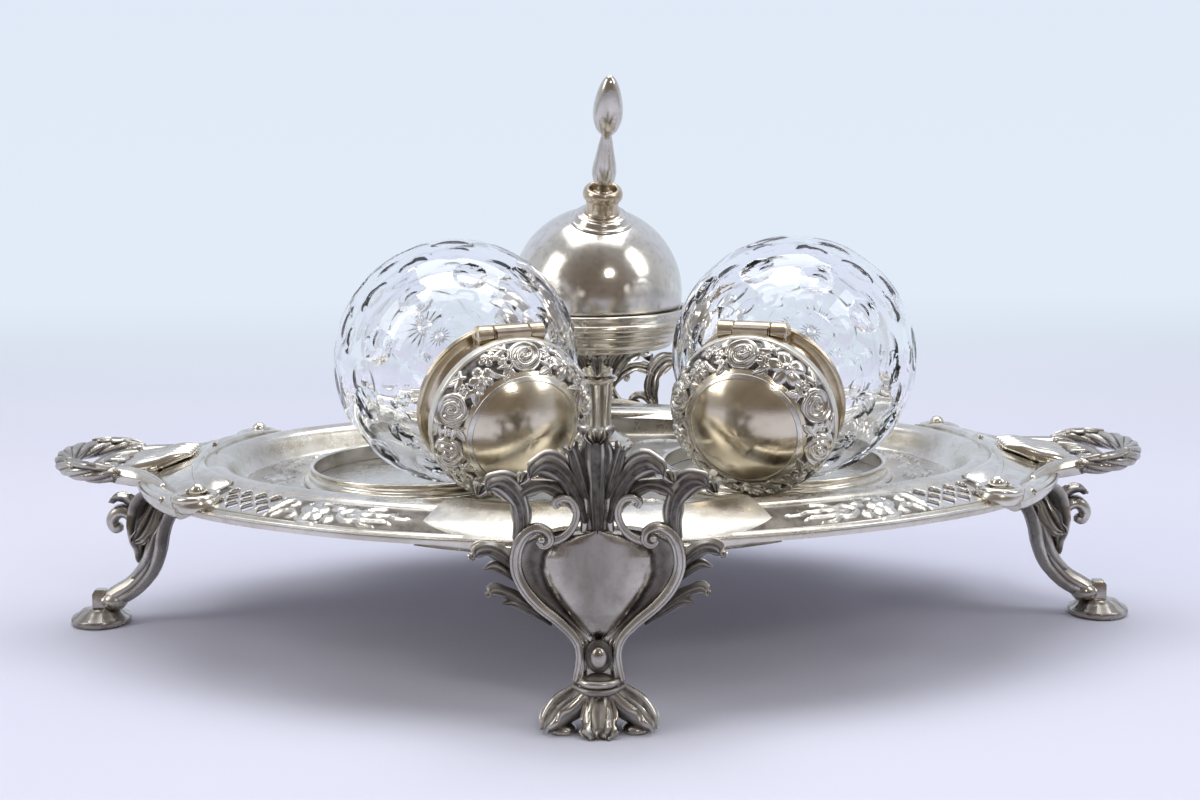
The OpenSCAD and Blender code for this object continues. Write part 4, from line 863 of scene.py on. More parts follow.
lathe(p, [(0.01, se, 1), (1.9, se, 1), (1.9, z0, 1), (3.0, z0, 1), (3.15, z0 + 0.6), (2.7, z0 + 1.4),
    (2.1, z0 + 1.9), (2.15, z0 + 2.7), (2.9, z0 + k * 0.095), (3.5, z0 + k * 0.125), (4.02, z0 + k * 0.18),
    (3.92, z0 + k * 0.24), (3.1, z0 + k * 0.34), (2.32, z0 + k * 0.44),
          (1.85, z0 + k * 0.495), (2.0, z0 + k * 0.515), (2.9, z0 + k * 0.54), (3.75, z0 + k * 0.57),
              (4.6, z0 + k * 0.63), (4.93, z0 + k * 0.69), (4.6, z0 + k * 0.78), (3.7, z0 + k * 0.87),
              (2.5, z0 + k * 0.945), (1.2, z0 + k * 0.985), (0.01, z0 + k - 0.03)], B, seg=72)
finish_piece("turned_handle", p, "bell", ["bell_handle"], BELLM, sharp=50)
for nme, piece in (("bell_stem_nut", STEEL), ("clapper_eye", STEEL), ("clapper_rod", STEEL),
    ("column_rod", STEEL), ("column_nut", STEEL), ("leg_screws", STEEL)):
    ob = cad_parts[nme]
    ob.data.materials.clear()
    ob.data.materials.append(piece)
p = Part()
ball(p, (0, 0, 4.0 - CLAP_LEN), 3.98, CLAP_PLACE, 40, 24)
lathe(p, [(1.2, 7.6 - CLAP_LEN, 1), (2.0, 7.7 - CLAP_LEN), (1.9, 8.3 - CLAP_LEN), (1.2, 8.8 - CLAP_LEN, 1)],
    CLAP_PLACE, seg=32)
finish_piece("clapper_bob", p, "clapper", ["clapper_ball"], STEEL, sharp=50)


# ---------------------------------------------------------------- inkwells
def ball_cuts(D):
    """Radius of the cut glass ball in the directions D: lens cuts in two rows, mitre cuts and stars between them."""
    r = np.full(len(D), BALL_R)
    for la, n, d, off in ((54, 10, 0.966, 0.5), (-52, 10, 0.966, 0.0), (0, 12, 0.981, 0.25)):
        for i in range(n):
            lo, e = 2 * math.pi * (i + off) / n, math.radians(la)
            c = D @ np.array([math.cos(lo) * math.cos(e), math.sin(lo) * math.cos(e), math.sin(e)])
            r = np.where(c > 0.7, np.minimum(r, d * BALL_R / np.maximum(c, 0.7)), r)
    cr, depth = 12.0, 1.6
    for row in (-1, 1):
        for i in range(12):
            a = 2 * math.pi * (i + row / 4) / 12
            e = row * math.radians(24)
            c = np.array([math.cos(a) * math.cos(e), math.sin(a) * math.cos(e),
                math.sin(e)]) * (BALL_R + cr - depth)
            b = D @ c
            disc = b * b - (c @ c - cr * cr)
            hit = disc > 0
            t = b - np.sqrt(np.where(hit, disc, 0))
            r = np.where(hit & (b > 0), np.minimum(r, t), r)
    # mitre cuts cross between the lenses, and eight-rayed stars on the equator and above
    for row, la, n, off in ((0, 0.0, 12, 0.25), (1, 0.80, 12, 0.0), (2, -0.80, 12, 0.5)):
        for i in range(n):
            lo = 2 * math.pi * (i + off) / n
            c = np.array([math.cos(lo) * math.cos(la), math.sin(lo) * math.cos(la), math.sin(la)])
            e1 = np.array([-math.sin(lo), math.cos(lo), 0])
            e2 = np.cross(c, e1)
            near = D @ c > math.cos(0.2)
            x, y = (D[near] @ e1) * BALL_R, (D[near] @ e2) * BALL_R
            g = np.zeros_like(x)
            for k in range(4):
                t = math.pi * k / 4 + 0.2 * row
                u, v = x * math.cos(t) + y * math.sin(t), -x * math.sin(t) + y * math.cos(t)
                lim = 5.4 if k % 2 == 0 else 3.8
                g = np.maximum(g, np.clip((0.95 - 0.95 * np.abs(u) / lim) - np.abs(v) * 1.15, 0, 1))
            r[near] = np.minimum(r[near], BALL_R - g * 1.05)
    return r


def glass_piece(side):
    P = ink_place(side)
    part = Part()
    nu, nv = 360, 200
    t_neck = math.asin(GN_R / BALL_R)
    t_base = math.pi - math.acos(BASE_CUT / BALL_R)
    th = np.linspace(t_neck, t_base, nv)
    ph = np.linspace(0, 2 * math.pi, nu, endpoint=False)
    PH, TH = np.meshgrid(ph, th, indexing="ij")
    D = np.stack([np.cos(PH) * np.sin(TH), np.sin(PH) * np.sin(TH), np.cos(TH)], -1).reshape(-1, 3)
    r = ball_cuts(D).reshape(nu, nv)
    guard = np.clip((th - t_neck) / 0.08, 0, 1) * np.clip((t_base - th) / 0.05, 0, 1)
    r = BALL_R + (r - BALL_R) * guard[None, :]
    V = D.reshape(nu, nv, 3) * r[..., None]
    rb = math.sqrt(BALL_R ** 2 - BASE_CUT ** 2)
    # neck outside and lip, bore, hollow, all one closed skin
    gz = BALL_R * math.cos(t_neck)
    head = profile([(GN_R, gz), (GN_R, SEAT - 1.8, 1), (GN_R - 0.3, SEAT - 1.3), (GN_R - 0.9, SEAT - 1.05),
        (BORE_R + 0.8, SEAT - 1.05), (BORE_R + 0.15, SEAT - 1.3), (BORE_R, SEAT - 1.9, 1),
                    (BORE_R, HOLLOW_R * math.cos(math.asin(BORE_R / HOLLOW_R)) + 1.5),
                        (BORE_R + 0.4, HOLLOW_R * math.cos(math.asin(BORE_R / HOLLOW_R)))], 4)
    hol = np.array([(HOLLOW_R * math.sin(t),
        HOLLOW_R * math.cos(t)) for t in np.linspace(math.asin((BORE_R + 0.4) / HOLLOW_R), math.pi - 1e-3,
        60)])
    line = np.vstack([head[::1], hol[1:]])
    cs, sn = np.cos(ph), np.sin(ph)
    W = np.stack([line[None, :, 0] * cs[:, None], line[None, :, 0] * sn[:, None],
        np.repeat(line[None, :, 1], nu, 0)], -1)
    allv = np.concatenate([V[:, ::-1], W[:, 1:]], 1)
    # star under the foot
    base_r = np.linspace(0.02, 1, 26)[:-1] * rb
    star = np.zeros((nu, len(base_r)))
    for j, q in enumerate(base_r):
        star[:, j] = 0.9 * np.clip(1 - q / (rb * 0.92), 0,
            1) * (0.5 + 0.5 * np.cos(16 * ph)) ** 1.0 * min(1, q / 1.2)
    Bv = np.stack([base_r[None, :] * cs[:, None], base_r[None, :] * sn[:, None], -BASE_CUT + star], -1)
    allv = np.concatenate([Bv, allv], 1)
    m = allv.shape[1]
    faces = grid_faces(nu, m, wrap_u=True)
    part.add(allv.reshape(-1, 3), faces, None, P)
    return part


MR, MF, INNER = 18.5, 23.6, GN_R + 0.1
AF, AN = math.sqrt(BALL_R ** 2 - MF ** 2), math.sqrt(BALL_R ** 2 - INNER ** 2)
HY, HZ = LID_R - 1, SEAT - KN_R - 0.6
LB = SEAT + 0.3
BZ = LB + 3
DZ = BZ + 7.8
LT = SEAT + LID_H


def band_relief(A, K, R, Z):
    """Roses, daisies and leaves hammered up round the lid, close together; the ground between them is painted dark as
    shade together with tarnish.
    """
    count, width = 10, 12.6
    period = 2 * math.pi * 21.0 / count
    L = A * 21.0
    h = np.zeros_like(R)
    mid = 6.2
    for i in range(-1, count + 1):
        c = (i + 0.5) * period
        kind = ("rose", "daisy", "rose", "leaf", "rose")[i % 5]
        sel = np.abs(L - c) < period
        if not sel.any():
            continue
        x, y = L[sel], K[sel]
        if kind == "rose":
            g = rose(x, y, c, mid, 5.3, 1.35, i * 0.8)
        elif kind == "daisy":
            g = flower(x, y, c, mid, 5.9, 1.3, 5, i)
        else:
            g = np.maximum(flower(x, y, c + 1.2, mid + 1.6, 4.0, 1.15, 5, 0.4),
                flower(x, y, c - 3.4, mid - 2.6, 2.8, 1.0, 5, 1.2))
            g = np.maximum(g, stroke(x, y, [(c - 5, mid + 4.6), (c - 2.6, mid + 3.2), (c - 1.8, mid + 0.6)],
                [0.4, 1.1, 0.5], 1.0, ridge=True))
        for t, v in ((1, 4.6), (-1, 4.6)):
            g = np.maximum(g, stroke(x, y, [(c + period / 2 - 2.2, mid + t * (v - 2.4)),
                (c + period / 2, mid + t * (v - 0.4)), (c + period / 2 + 2.0, mid + t * (v + 0.9))],
                [0.6, 1.5, 0.5], 0.95, ridge=True))
            g = np.maximum(g, stroke(x, y, [(c + period / 2 + 2.2, mid + t * (v - 2.8)),
                (c + period / 2 - 0.4, mid + t * (v - 2.0)), (c + period / 2 - 2.4, mid + t * (v + 0.4))],
                [0.4, 1.2, 0.5], 0.9, ridge=True))
        g = np.maximum(g, flower(x, y, c + period / 2, mid, 1.9, 0.95, 5, i))
        h[sel] = np.maximum(h[sel], g)
    face = K < width
    edge = np.clip((K - 0.5) / 0.5, 0, 1) * np.clip((width - K) / 0.6, 0, 1) * face
    # painted shade: the ground is dark and the relief brightens with its height
    tone = np.where(face, np.clip(h * edge / 0.8, 0, 1) ** 0.9 + (1 - edge) * 0.5, 1.0)
    return (h - 0.7) * edge, np.clip(tone, 0, 1)


def inkwell(side):
    nm = "left" if side < 0 else "right"
    P = ink_place(side)
    finish_piece(nm + "_crystal", glass_piece(side), nm + "_inkwell", [nm + "_glass_ball"], CRYSTAL,
        sharp=14)
    p = Part()
    f, r = MF, MR
    lathe(p, [(INNER, AN + 0.5, 1), (f, AF + 0.4), (f + 0.45, AF + 0.75), (f + 0.4, AF + 1.2),
        (f - 0.1, AF + 1.5, 1), (f - 1.2, AF + 1.75), (f - 2.4, AF + 2.25), (f - 3.6, AF + 3.4),
        (r + 0.75, AN), (r + 0.1, AN + 1.5), (r, AN + 2.6), (r, SEAT - 1.7, 1),
              (r + 0.75, SEAT - 1.15), (r + 0.9, SEAT - 0.6), (r + 0.85, SEAT - 0.02, 1),
                  (r - 1.2, SEAT, 1), (r - 1.2, SEAT + 1.5, 1), (INNER, SEAT + 1.6, 1), (INNER, AN + 0.5)],
                  P, seg=160)
    finish_piece(nm + "_mount", p, nm + "_inkwell", [nm + "_neck_mount"], MOUNT, sharp=48)
    # hinge: fixed knuckles with their block, bevelled
    p = Part()
    kw = (HW - MID_W) / 2 - 0.2
    turn_x = rot("y", 90)
    for s in (0, 1):
        x0 = MID_W / 2 + 0.2
        m = (mirror_x() if s else np.eye(4))
        lathe(p, [(1.15, x0, 1), (KN_R - 0.25, x0, 1), (KN_R, x0 + 0.3, 1), (KN_R, x0 + kw - 0.35, 1),
            (KN_R - 0.3, x0 + kw, 1), (1.15, x0 + kw, 1), (1.15, x0)], P @ m @ move(0, HY, HZ) @ turn_x,
            seg=40, n=3)
        bx = [x0, x0 + kw]
        by = [MR + 0.12, HY]
        bz = [HZ - KN_R + 0.1, HZ + KN_R - 0.1]
        e = 0.35
        v, fc = [], []
        for xx, ex in ((bx[0], e), (bx[1], -e)):
            for yy, zz, dy, dz in ((by[0] + 0.8, bz[0] + 1.6, e, e), (by[1], bz[0], 0, e),
                (by[1], bz[1] - 1.0, 0, -e), (by[0] + 0.8, bz[1] - 1.4, e, -e)):
                v.append((xx, yy + dy, zz + dz))
            for yy, zz in ((by[0] + 0.8, bz[0] + 1.6), (by[1], bz[0]), (by[1], bz[1] - 1.0),
                (by[0] + 0.8, bz[1] - 1.4)):
                v.append((xx + ex, yy, zz))
        q = lambda i, j: i * 8 + j
        fc += [(0, 1, 2, 3), (8, 9, 10, 11)]
        for j in range(4):
            n2 = (j + 1) % 4
            fc += [(j, n2, 4 + n2, 4 + j), (4 + j, 4 + n2, 12 + n2, 12 + j),
                (12 + j, 12 + n2, 8 + n2, 8 + j)]
        p.add(v, fc, None, P @ m)
    finish_piece(nm + "_hinge_leaf", p, nm + "_inkwell", [nm + "_hinge_block"], MOUNT,
        sharp=30)
    p = Part()
    lathe(p, [(0.01, -HW / 2, 1), (PIN_R - 0.2, -HW / 2), (PIN_R, -HW / 2 + 0.25, 1),
        (PIN_R, HW / 2 - 0.25, 1), (PIN_R - 0.2, HW / 2), (0.01, HW / 2)], P @ move(0, HY, HZ) @ turn_x,
        seg=28, n=3)
    finish_piece(nm + "_pin", p, nm + "_inkwell", [nm + "_hinge_pin"], STEEL, sharp=40)
    # lid
    lid = nm + "_lid"
    p = Part()
    ir = MR + 0.9
    lathe(p, [(ir, LB, 1), (LID_R - 0.6, LB, 1), (LID_R - 0.1, LB + 0.3), (LID_R, LB + 0.9),
        (LID_R, LB + 2.2), (LID_R - 0.15, LB + 2.8), (LID_R - 0.5, LB + 2.98, 1), (ir, LB + 2.98, 1),
        (ir, LB)], P, seg=180)
    finish_piece(nm + "_lip_ring", p, lid, [nm + "_lid_rim"], RIMM, sharp=48)
    p = Part()
    r, d = LID_R, DOME_R
    outer = [(r - 0.35, BZ + 0.02), (r - 0.15, BZ + 0.8), (r - 0.2, BZ + 1.6), (r - 0.55, BZ + 2.8),
        (r - 1.25, BZ + 4.0), (r - 2.2, BZ + 5.2), (r - 3.3, BZ + 6.3), (d + 1.9, BZ + 7.2),
        (d + 0.6, BZ + 7.9)]
    H = LT - DZ
    cr = (d * d + H * H) / (2 * H)
    outer += [(q, DZ + H - cr + math.sqrt(cr * cr - q * q) + 0.45) for q in (d - 0.5, d - 1.4, d - 2.1)]
    oc = np.vstack([catmull(np.array(outer), 9), [[d - 2.4,
        DZ + H - cr + math.sqrt(cr * cr - (d - 2.4) ** 2) - 0.2]]])
    inner = catmull(np.array([(d - 1.35, DZ - 0.3), (d - 0.4, DZ - 1.6), (r - 5.0, BZ + 4.9),
        (r - 3.4, BZ + 2.8), (r - 1.9, BZ + 0.6), (r - 1.9, BZ + 0.02)]), 4)
    lathe(p, np.vstack([oc, inner, oc[:1]]), P, seg=620, raw=True, relief=band_relief)
    finish_piece(nm + "_flower_band", p, lid, [nm + "_lid_band"], CHASED, sharp=80)
    p = Part()
    t1 = math.asin(d / cr)
    cap = [(cr * math.sin(t), DZ + H - cr + cr * math.cos(t)) for t in np.linspace(t1, 0.001, 24)]
    capi = [((cr - 1.35) * math.sin(t), DZ + H - cr + (cr - 1.35) * math.cos(t)) for t in np.linspace(0.001,
        t1 * 0.97, 16)]
    lathe(p, [(d - 0.3, DZ + 0.05, 1), (d + 0.02, DZ + 0.15)] + [(a, b + 0.0) for a,
        b in cap] + capi + [(d - 0.3, DZ + 0.05)], P, seg=140, n=2, relief=lambda A, K, R,
        Z: (0.03 * np.sin(2 * A + 1) * np.sin(R * 0.35) + 0.02 * np.sin(5 * A) * np.sin(R * 0.6),
        np.ones_like(R)))
    finish_piece(nm + "_dome", p, lid, [nm + "_lid_dome"], LIDM, sharp=50)
    p = Part()
    w = MID_W / 2
    lathe(p, [(1.16, -w, 1), (KN_R - 0.25, -w, 1), (KN_R, -w + 0.3, 1), (KN_R, w - 0.3, 1),
        (KN_R - 0.25, w, 1), (1.16, w, 1), (1.16, -w)], P @ move(0, HY, HZ) @ turn_x, seg=40, n=3)
    v = [(x, y, z) for x in (-w + 0.2, w - 0.2) for y,
        z in ((HY - 1, HZ + 2.2), (HY + 2.6, HZ + 1.2), (HY + 2.4, LB - 0.4), (HY + 1.6, LB + 0.0),
        (HY - 1, LB + 0.0))]
    n5 = [(0, 1, 2, 3, 4), (5, 6, 7, 8, 9)] + [(j, (j + 1) % 5, 5 + (j + 1) % 5, 5 + j) for j in range(5)]
    p.add(v, n5, None, P)
    finish_piece(nm + "_knuckle", p, lid, [nm + "_lid_knuckle"], MOUNT, sharp=35)


inkwell(-1)
inkwell(1)

# ---------------------------------------------------------------- cast legs
def leg_body(p, m):
    """Convex shield in a hollow frame, narrowing to the waist above the foot."""
    zs = np.linspace(11.5, 54.5, 76)
    half = np.interp(zs, [11.5, 14, 16.7, 20, 23.3, 26.7, 30, 33, 36.5, 40, 44, 47.5, 50.5, 53, 54.5],
        [6.4, 5.9, 5.5, 5.1, 5.3, 7.6, 11.2, 14.6, 18.2, 20.6, 21.9, 21.9, 20.6, 16.5, 9])
    shield = np.interp(zs, [11.5, 22, 25, 27, 31, 35, 39, 43, 47, 51, 53.2, 54.5],
        [0.3, 0.4, 1.6, 3.8, 6.8, 9.8, 12.4, 13.6, 13.2, 10.6, 6.4, 2.0])
    v = np.linspace(-1, 1, 65)
    Z, V = np.meshgrid(zs, v, indexing="ij")
    W, S = half[:, None] * np.ones_like(V), shield[:, None] * np.ones_like(V)
    X = V * W
    ax = np.abs(X)
    dome = np.sqrt(np.clip(1 - (ax / S) ** 2, 0, 1))
    env = np.clip((Z - 23) / 9, 0, 1)
    rim = np.exp(-((W - ax - 1.1) / 1.0) ** 2)
    chan = np.clip(1 - np.abs((ax - (S + W) / 2) / np.maximum((W - S) / 2, 0.5)) ** 2, 0, 1)
    fwd = 2.4 + 3.6 * dome * env + 1.9 * rim - 0.9 * chan * env + 0.9 * np.exp(-((ax - S - 0.4) / 0.5) ** 2) * env
    fwd += 1.2 * np.clip((20 - Z) / 8, 0, 1)
    # tone: the channel round the shield and the groove along its edge are painted dark as shade, the shield's face is
    # made darker, and the back is painted darker as shade
    tone = np.clip(0.95 - 0.5 * dome * env - 0.75 * chan * (0.4 + 0.6 * env) - 0.5 * np.exp(-((ax - S - 1.2) / 0.9) ** 2) * env,
        0.05, 1)
    fwd = fwd * np.sqrt(np.clip(1 - np.abs(V) ** 10, 0, 1))
    front = np.stack([X, -0.4 - fwd, Z], -1)
    back = np.stack([X, np.full_like(X, -0.2) - 0.9 * (1 - V ** 2) * 0.2, Z], -1)
    n = zs.size * v.size
    f1 = grid_faces(zs.size, v.size)
    f2 = [(d + n, c + n, b + n, a + n) for a, b, c, d in f1]
    w = v.size
    side = []
    for i in range(zs.size - 1):
        side += [(i * w, (i + 1) * w, (i + 1) * w + n, i * w + n),
            ((i + 1) * w + w - 1, i * w + w - 1, i * w + w - 1 + n, (i + 1) * w + w - 1 + n)]
    e = (zs.size - 1) * w
    for j in range(w - 1):
        side += [(j + 1, j, j + n, j + 1 + n), (e + j, e + j + 1, e + j + 1 + n, e + j + n)]
    p.add(np.vstack([front.reshape(-1, 3), back.reshape(-1, 3)]), f1 + f2 + side,
        np.concatenate([tone.ravel(), np.full(n, 0.6)]), m)


def cartouche(name, node_name, turn):
    m = rot("z", turn) @ move(0, -LEG_Y, 0)
    p = Part()
    leg_body(p, m)
    for s in (1, -1):
        k = m if s == 1 else m @ mirror_x()
        # rolled edge of the S-scroll, with its spiral at the top
        sweep(p, [(6.2, -4.6, 13.5), (5.4, -4.4, 17), (5.0, -4.2, 21), (6.2, -4.2, 25), (10.4, -4.2, 29.6),
            (15.4, -4.2, 33.8), (19.4, -4.2, 38.6), (21.6, -4.2, 44), (21.3, -4.4, 49.4),
            (19.2, -4.8, 53.4), (16.1, -5.2, 55.2), (13.2, -5.4, 54.2), (12.5, -5.4, 51.8),
            (14.2, -5.3, 50.5), (15.7, -5.2, 51.8)],
              [1.1, 1.2, 1.25, 1.35, 1.5, 1.6, 1.7, 1.75, 1.75, 1.7, 1.55, 1.4, 1.25, 1.1, 0.9], k, n=7,
                  seg=18, reeds=6, reed=0.16)
        ball(p, (14.7, -5.8, 52.2), 1.15, k, 14, 9)
        # C-scroll between shield and crown
        sweep(p, [(14.4, -3.8, 51.4), (11.2, -4.2, 51.6), (8.2, -4.5, 53.2), (6.0, -4.7, 56.2),
            (5.3, -4.8, 59.6), (6.6, -5.0, 62.6), (9.2, -5.2, 63.4), (11.0, -5.2, 62.2),
            (10.4, -5.2, 60.7)],
              [1.3, 1.25, 1.2, 1.15, 1.15, 1.15, 1.15, 1.2, 1.0], k, n=7, seg=16, reeds=4, reed=0.14)
        # leaves
        leaf(p, [(3.2, -3.4, 56.5), (5.2, -4.0, 63.5), (9.0, -4.8, 69.6), (13.6, -6.0, 72.4),
            (17.6, -7.6, 71.2), (19.6, -8.6, 68.2)], 4.3, k, side=(0.75, 0, -0.65), lobes=3, cut=0.34,
            veins=4, thick=1.7)
        leaf(p, [(4.6, -3.0, 58), (8.4, -3.2, 63.4), (13.6, -3.8, 66.2), (18.6, -4.8, 65.2),
            (21.5, -5.6, 62.6)], 2.6, k, side=(0.5, 0, -0.85), lobes=2, cut=0.3, veins=3, thick=1.4, nu=24,
            nv=11)
        leaf(p, [(21.0, -3.2, 50.8), (19.9, -3.8, 57.2), (21.0, -4.8, 63.2), (25.0, -6.2, 67.6),
            (29.0, -7.6, 67.8), (30.8, -8.4, 65.2)], 3.9, k, side=(0.85, 0, -0.45), lobes=3, cut=0.24,
            veins=4, thick=1.8)
        leaf(p, [(20.6, -1.6, 41.5), (24.2, -2.2, 46.4), (28.4, -3.0, 49.2), (32.2, -4.2, 49.0),
            (33.4, -4.8, 47.2)], 2.7, k, side=(0.6, 0, -0.8), lobes=2, cut=0.25, veins=3, thick=1.7, nu=26,
            nv=13)
        leaf(p, [(20.4, -1.4, 38.8), (24.2, -1.6, 42.4), (27.6, -2.2, 44.4), (30.2, -3.0, 44.0)], 1.5, k,
            side=(0.6, 0, -0.8), lobes=1, veins=2, thick=1.4, nu=20, nv=9)
        leaf(p, [(15.4, -1.6, 31.0), (20.2, -2.0, 34.6), (24.8, -2.6, 37.4), (28.2, -3.4, 38.2),
            (29.2, -3.8, 36.6)], 2.1, k, side=(0.55, 0, -0.83), lobes=2, cut=0.25, veins=3, thick=1.6,
            nu=26, nv=13)
        leaf(p, [(12.4, -1.4, 28.2), (17.4, -1.6, 31.4), (22.0, -2.2, 34.2), (25.2, -2.8, 34.4)], 1.4, k,
            side=(0.55, 0, -0.83), lobes=1, veins=2, thick=1.4, nu=20, nv=9)
        # outer lobe of the foot, over a core painted dark as the shade beneath it
        leaf(p, [(3.4, -4.0, 13.0), (7.6, -5.2, 10.6), (11.6, -6.6, 8.0), (14.2, -7.6, 4.6),
            (14.9, -8.0, 2.0)], 4.9, k, side=(0.25, 0.9, 0.35), lobes=2, cut=0.2, cup=-0.22, veins=3,
            thick=2.6, tip=0.55, root=0.7)
        sweep(p, [(3.0, -3.0, 9.0), (7.4, -4.4, 6.2), (11.6, -6.4, 3.2), (13.8, -7.4, 1.7)],
            [4.0, 3.6, 2.4, 1.5], k, n=5, seg=14, tone=0.35)
        # small leaf at the side of the crown
        leaf(p, [(2.4, -4.4, 63), (4.4, -4.9, 69.6), (6.0, -5.9, 75.2), (7.0, -7.4, 77.8),
            (7.1, -8.6, 76.8)], 2.4, k, side=(0.95, 0, -0.3), lobes=2, cut=0.3, veins=3, thick=1.5, nu=26,
            nv=13)
        # stems of the crown
        sweep(p, [(3.4, -3.0, 52.4), (3.3, -3.6, 57), (3.0, -3.9, 62), (3.4, -4.0, 67)],
            [1.2, 1.15, 1.1, 0.7], k, n=5, seg=12)
    leaf(p, [(0, -3.6, 54), (0, -4.4, 63), (0, -5.2, 71), (0, -6.6, 78), (0, -9.2, 82.2), (0, -11.6, 81.4),
        (0, -12.4, 79.4)], 5.0, m, side=(1, 0, 0), lobes=4, cut=0.36, veins=5, thick=2.2, nu=48, nv=21,
        tip=0.35)
    # stem under the middle leaf, painted dark as shade
    sweep(p, [(0, -2.2, 52.4), (0, -3.4, 60), (0, -3.6, 68), (0, -4.6, 75)], [3.6, 3.2, 2.9, 1.6], m, n=5,
        seg=20, flat=0.55, tone=0.3)
    # bead on the waist over a flat disc painted near black as the shade round it, collar with its lower ring painted
    # darker as shade, and middle lobe of the foot over a core painted dark as shade
    ball(p, (0, -5.2, 20.4), (3.6, 1.0, 4.6), m, 24, 14, tone=0.1)
    ball(p, (0, -6.3, 20.4), (2.2, 1.9, 3.1), m, 28, 18)
    sweep(p, [(-6.0, -3.4, 13.6), (-3.2, -6.6, 13.3), (0, -7.4, 13.2), (3.2, -6.6, 13.3),
        (6.0, -3.4, 13.6)], [1.0, 1.1, 1.15, 1.1, 1.0], m, n=8, seg=14)
    sweep(p, [(-6.6, -3.2, 11.6), (-3.6, -6.6, 11.2), (0, -7.6, 11.1), (3.6, -6.6, 11.2),
        (6.6, -3.2, 11.6)], [0.9, 0.95, 1.0, 0.95, 0.9], m, n=8, seg=14, tone=0.4)
    ball(p, (0, -3.4, 8.5), (7.2, 3.6, 7.0), m, 32, 18, tone=0.25)
    leaf(p, [(0, -6.2, 12), (0, -8.4, 8.2), (0, -10.2, 4.8), (0, -12.0, 2.6), (0, -13.0, 1.3)], 5.6, m,
        side=(1, 0, 0), lobes=2, cut=0.16, cup=-0.2, veins=4, thick=2.4, tip=0.6, root=0.6)
    sweep(p, [(0, -3.0, 7.0), (0, -6.4, 4.6), (0, -9.6, 2.6), (0, -11.2, 1.7)], [4.4, 4.0, 2.5, 1.6], m,
        n=5, seg=18, tone=0.35)
    for s in (1, -1):
        k = m if s == 1 else m @ mirror_x()
        lathe(p, [(0.01, 0.02, 1), (3.4, 0.02, 1), (3.7, 0.5), (3.5, 1.4), (2.4, 2.2), (0.01, 2.4)],
            k @ move(9.6, -5.6, 0), seg=40, n=3)
    lathe(p, [(0.01, 0.02, 1), (3.9, 0.02, 1), (4.2, 0.5), (4.0, 1.4), (2.8, 2.2), (0.01, 2.4)],
        m @ move(0, -7.8, 0), seg=44, n=3)
    # lug that takes the screw under the lobe
    lug = [(x, y, z) for z in (RIM_Z - 8.9, RIM_Z - 1.4) for x,
        y in ((-5.4, -3), (5.4, -3), (5.8, 7.2), (5.0, 7.9), (-5.0, 7.9), (-5.8, 7.2))]
    p.add(lug, [(5, 4, 3, 2, 1, 0), (6, 7, 8, 9, 10, 11)] + [(j, (j + 1) % 6, 6 + (j + 1) % 6,
        6 + j) for j in range(6)], None, m)
    finish_piece(name, p, "stand", [node_name], CAST, sharp=62)


cartouche("front_cartouche_leg", "front_leg", 0)
cartouche("back_cartouche_leg", "back_leg", 180)


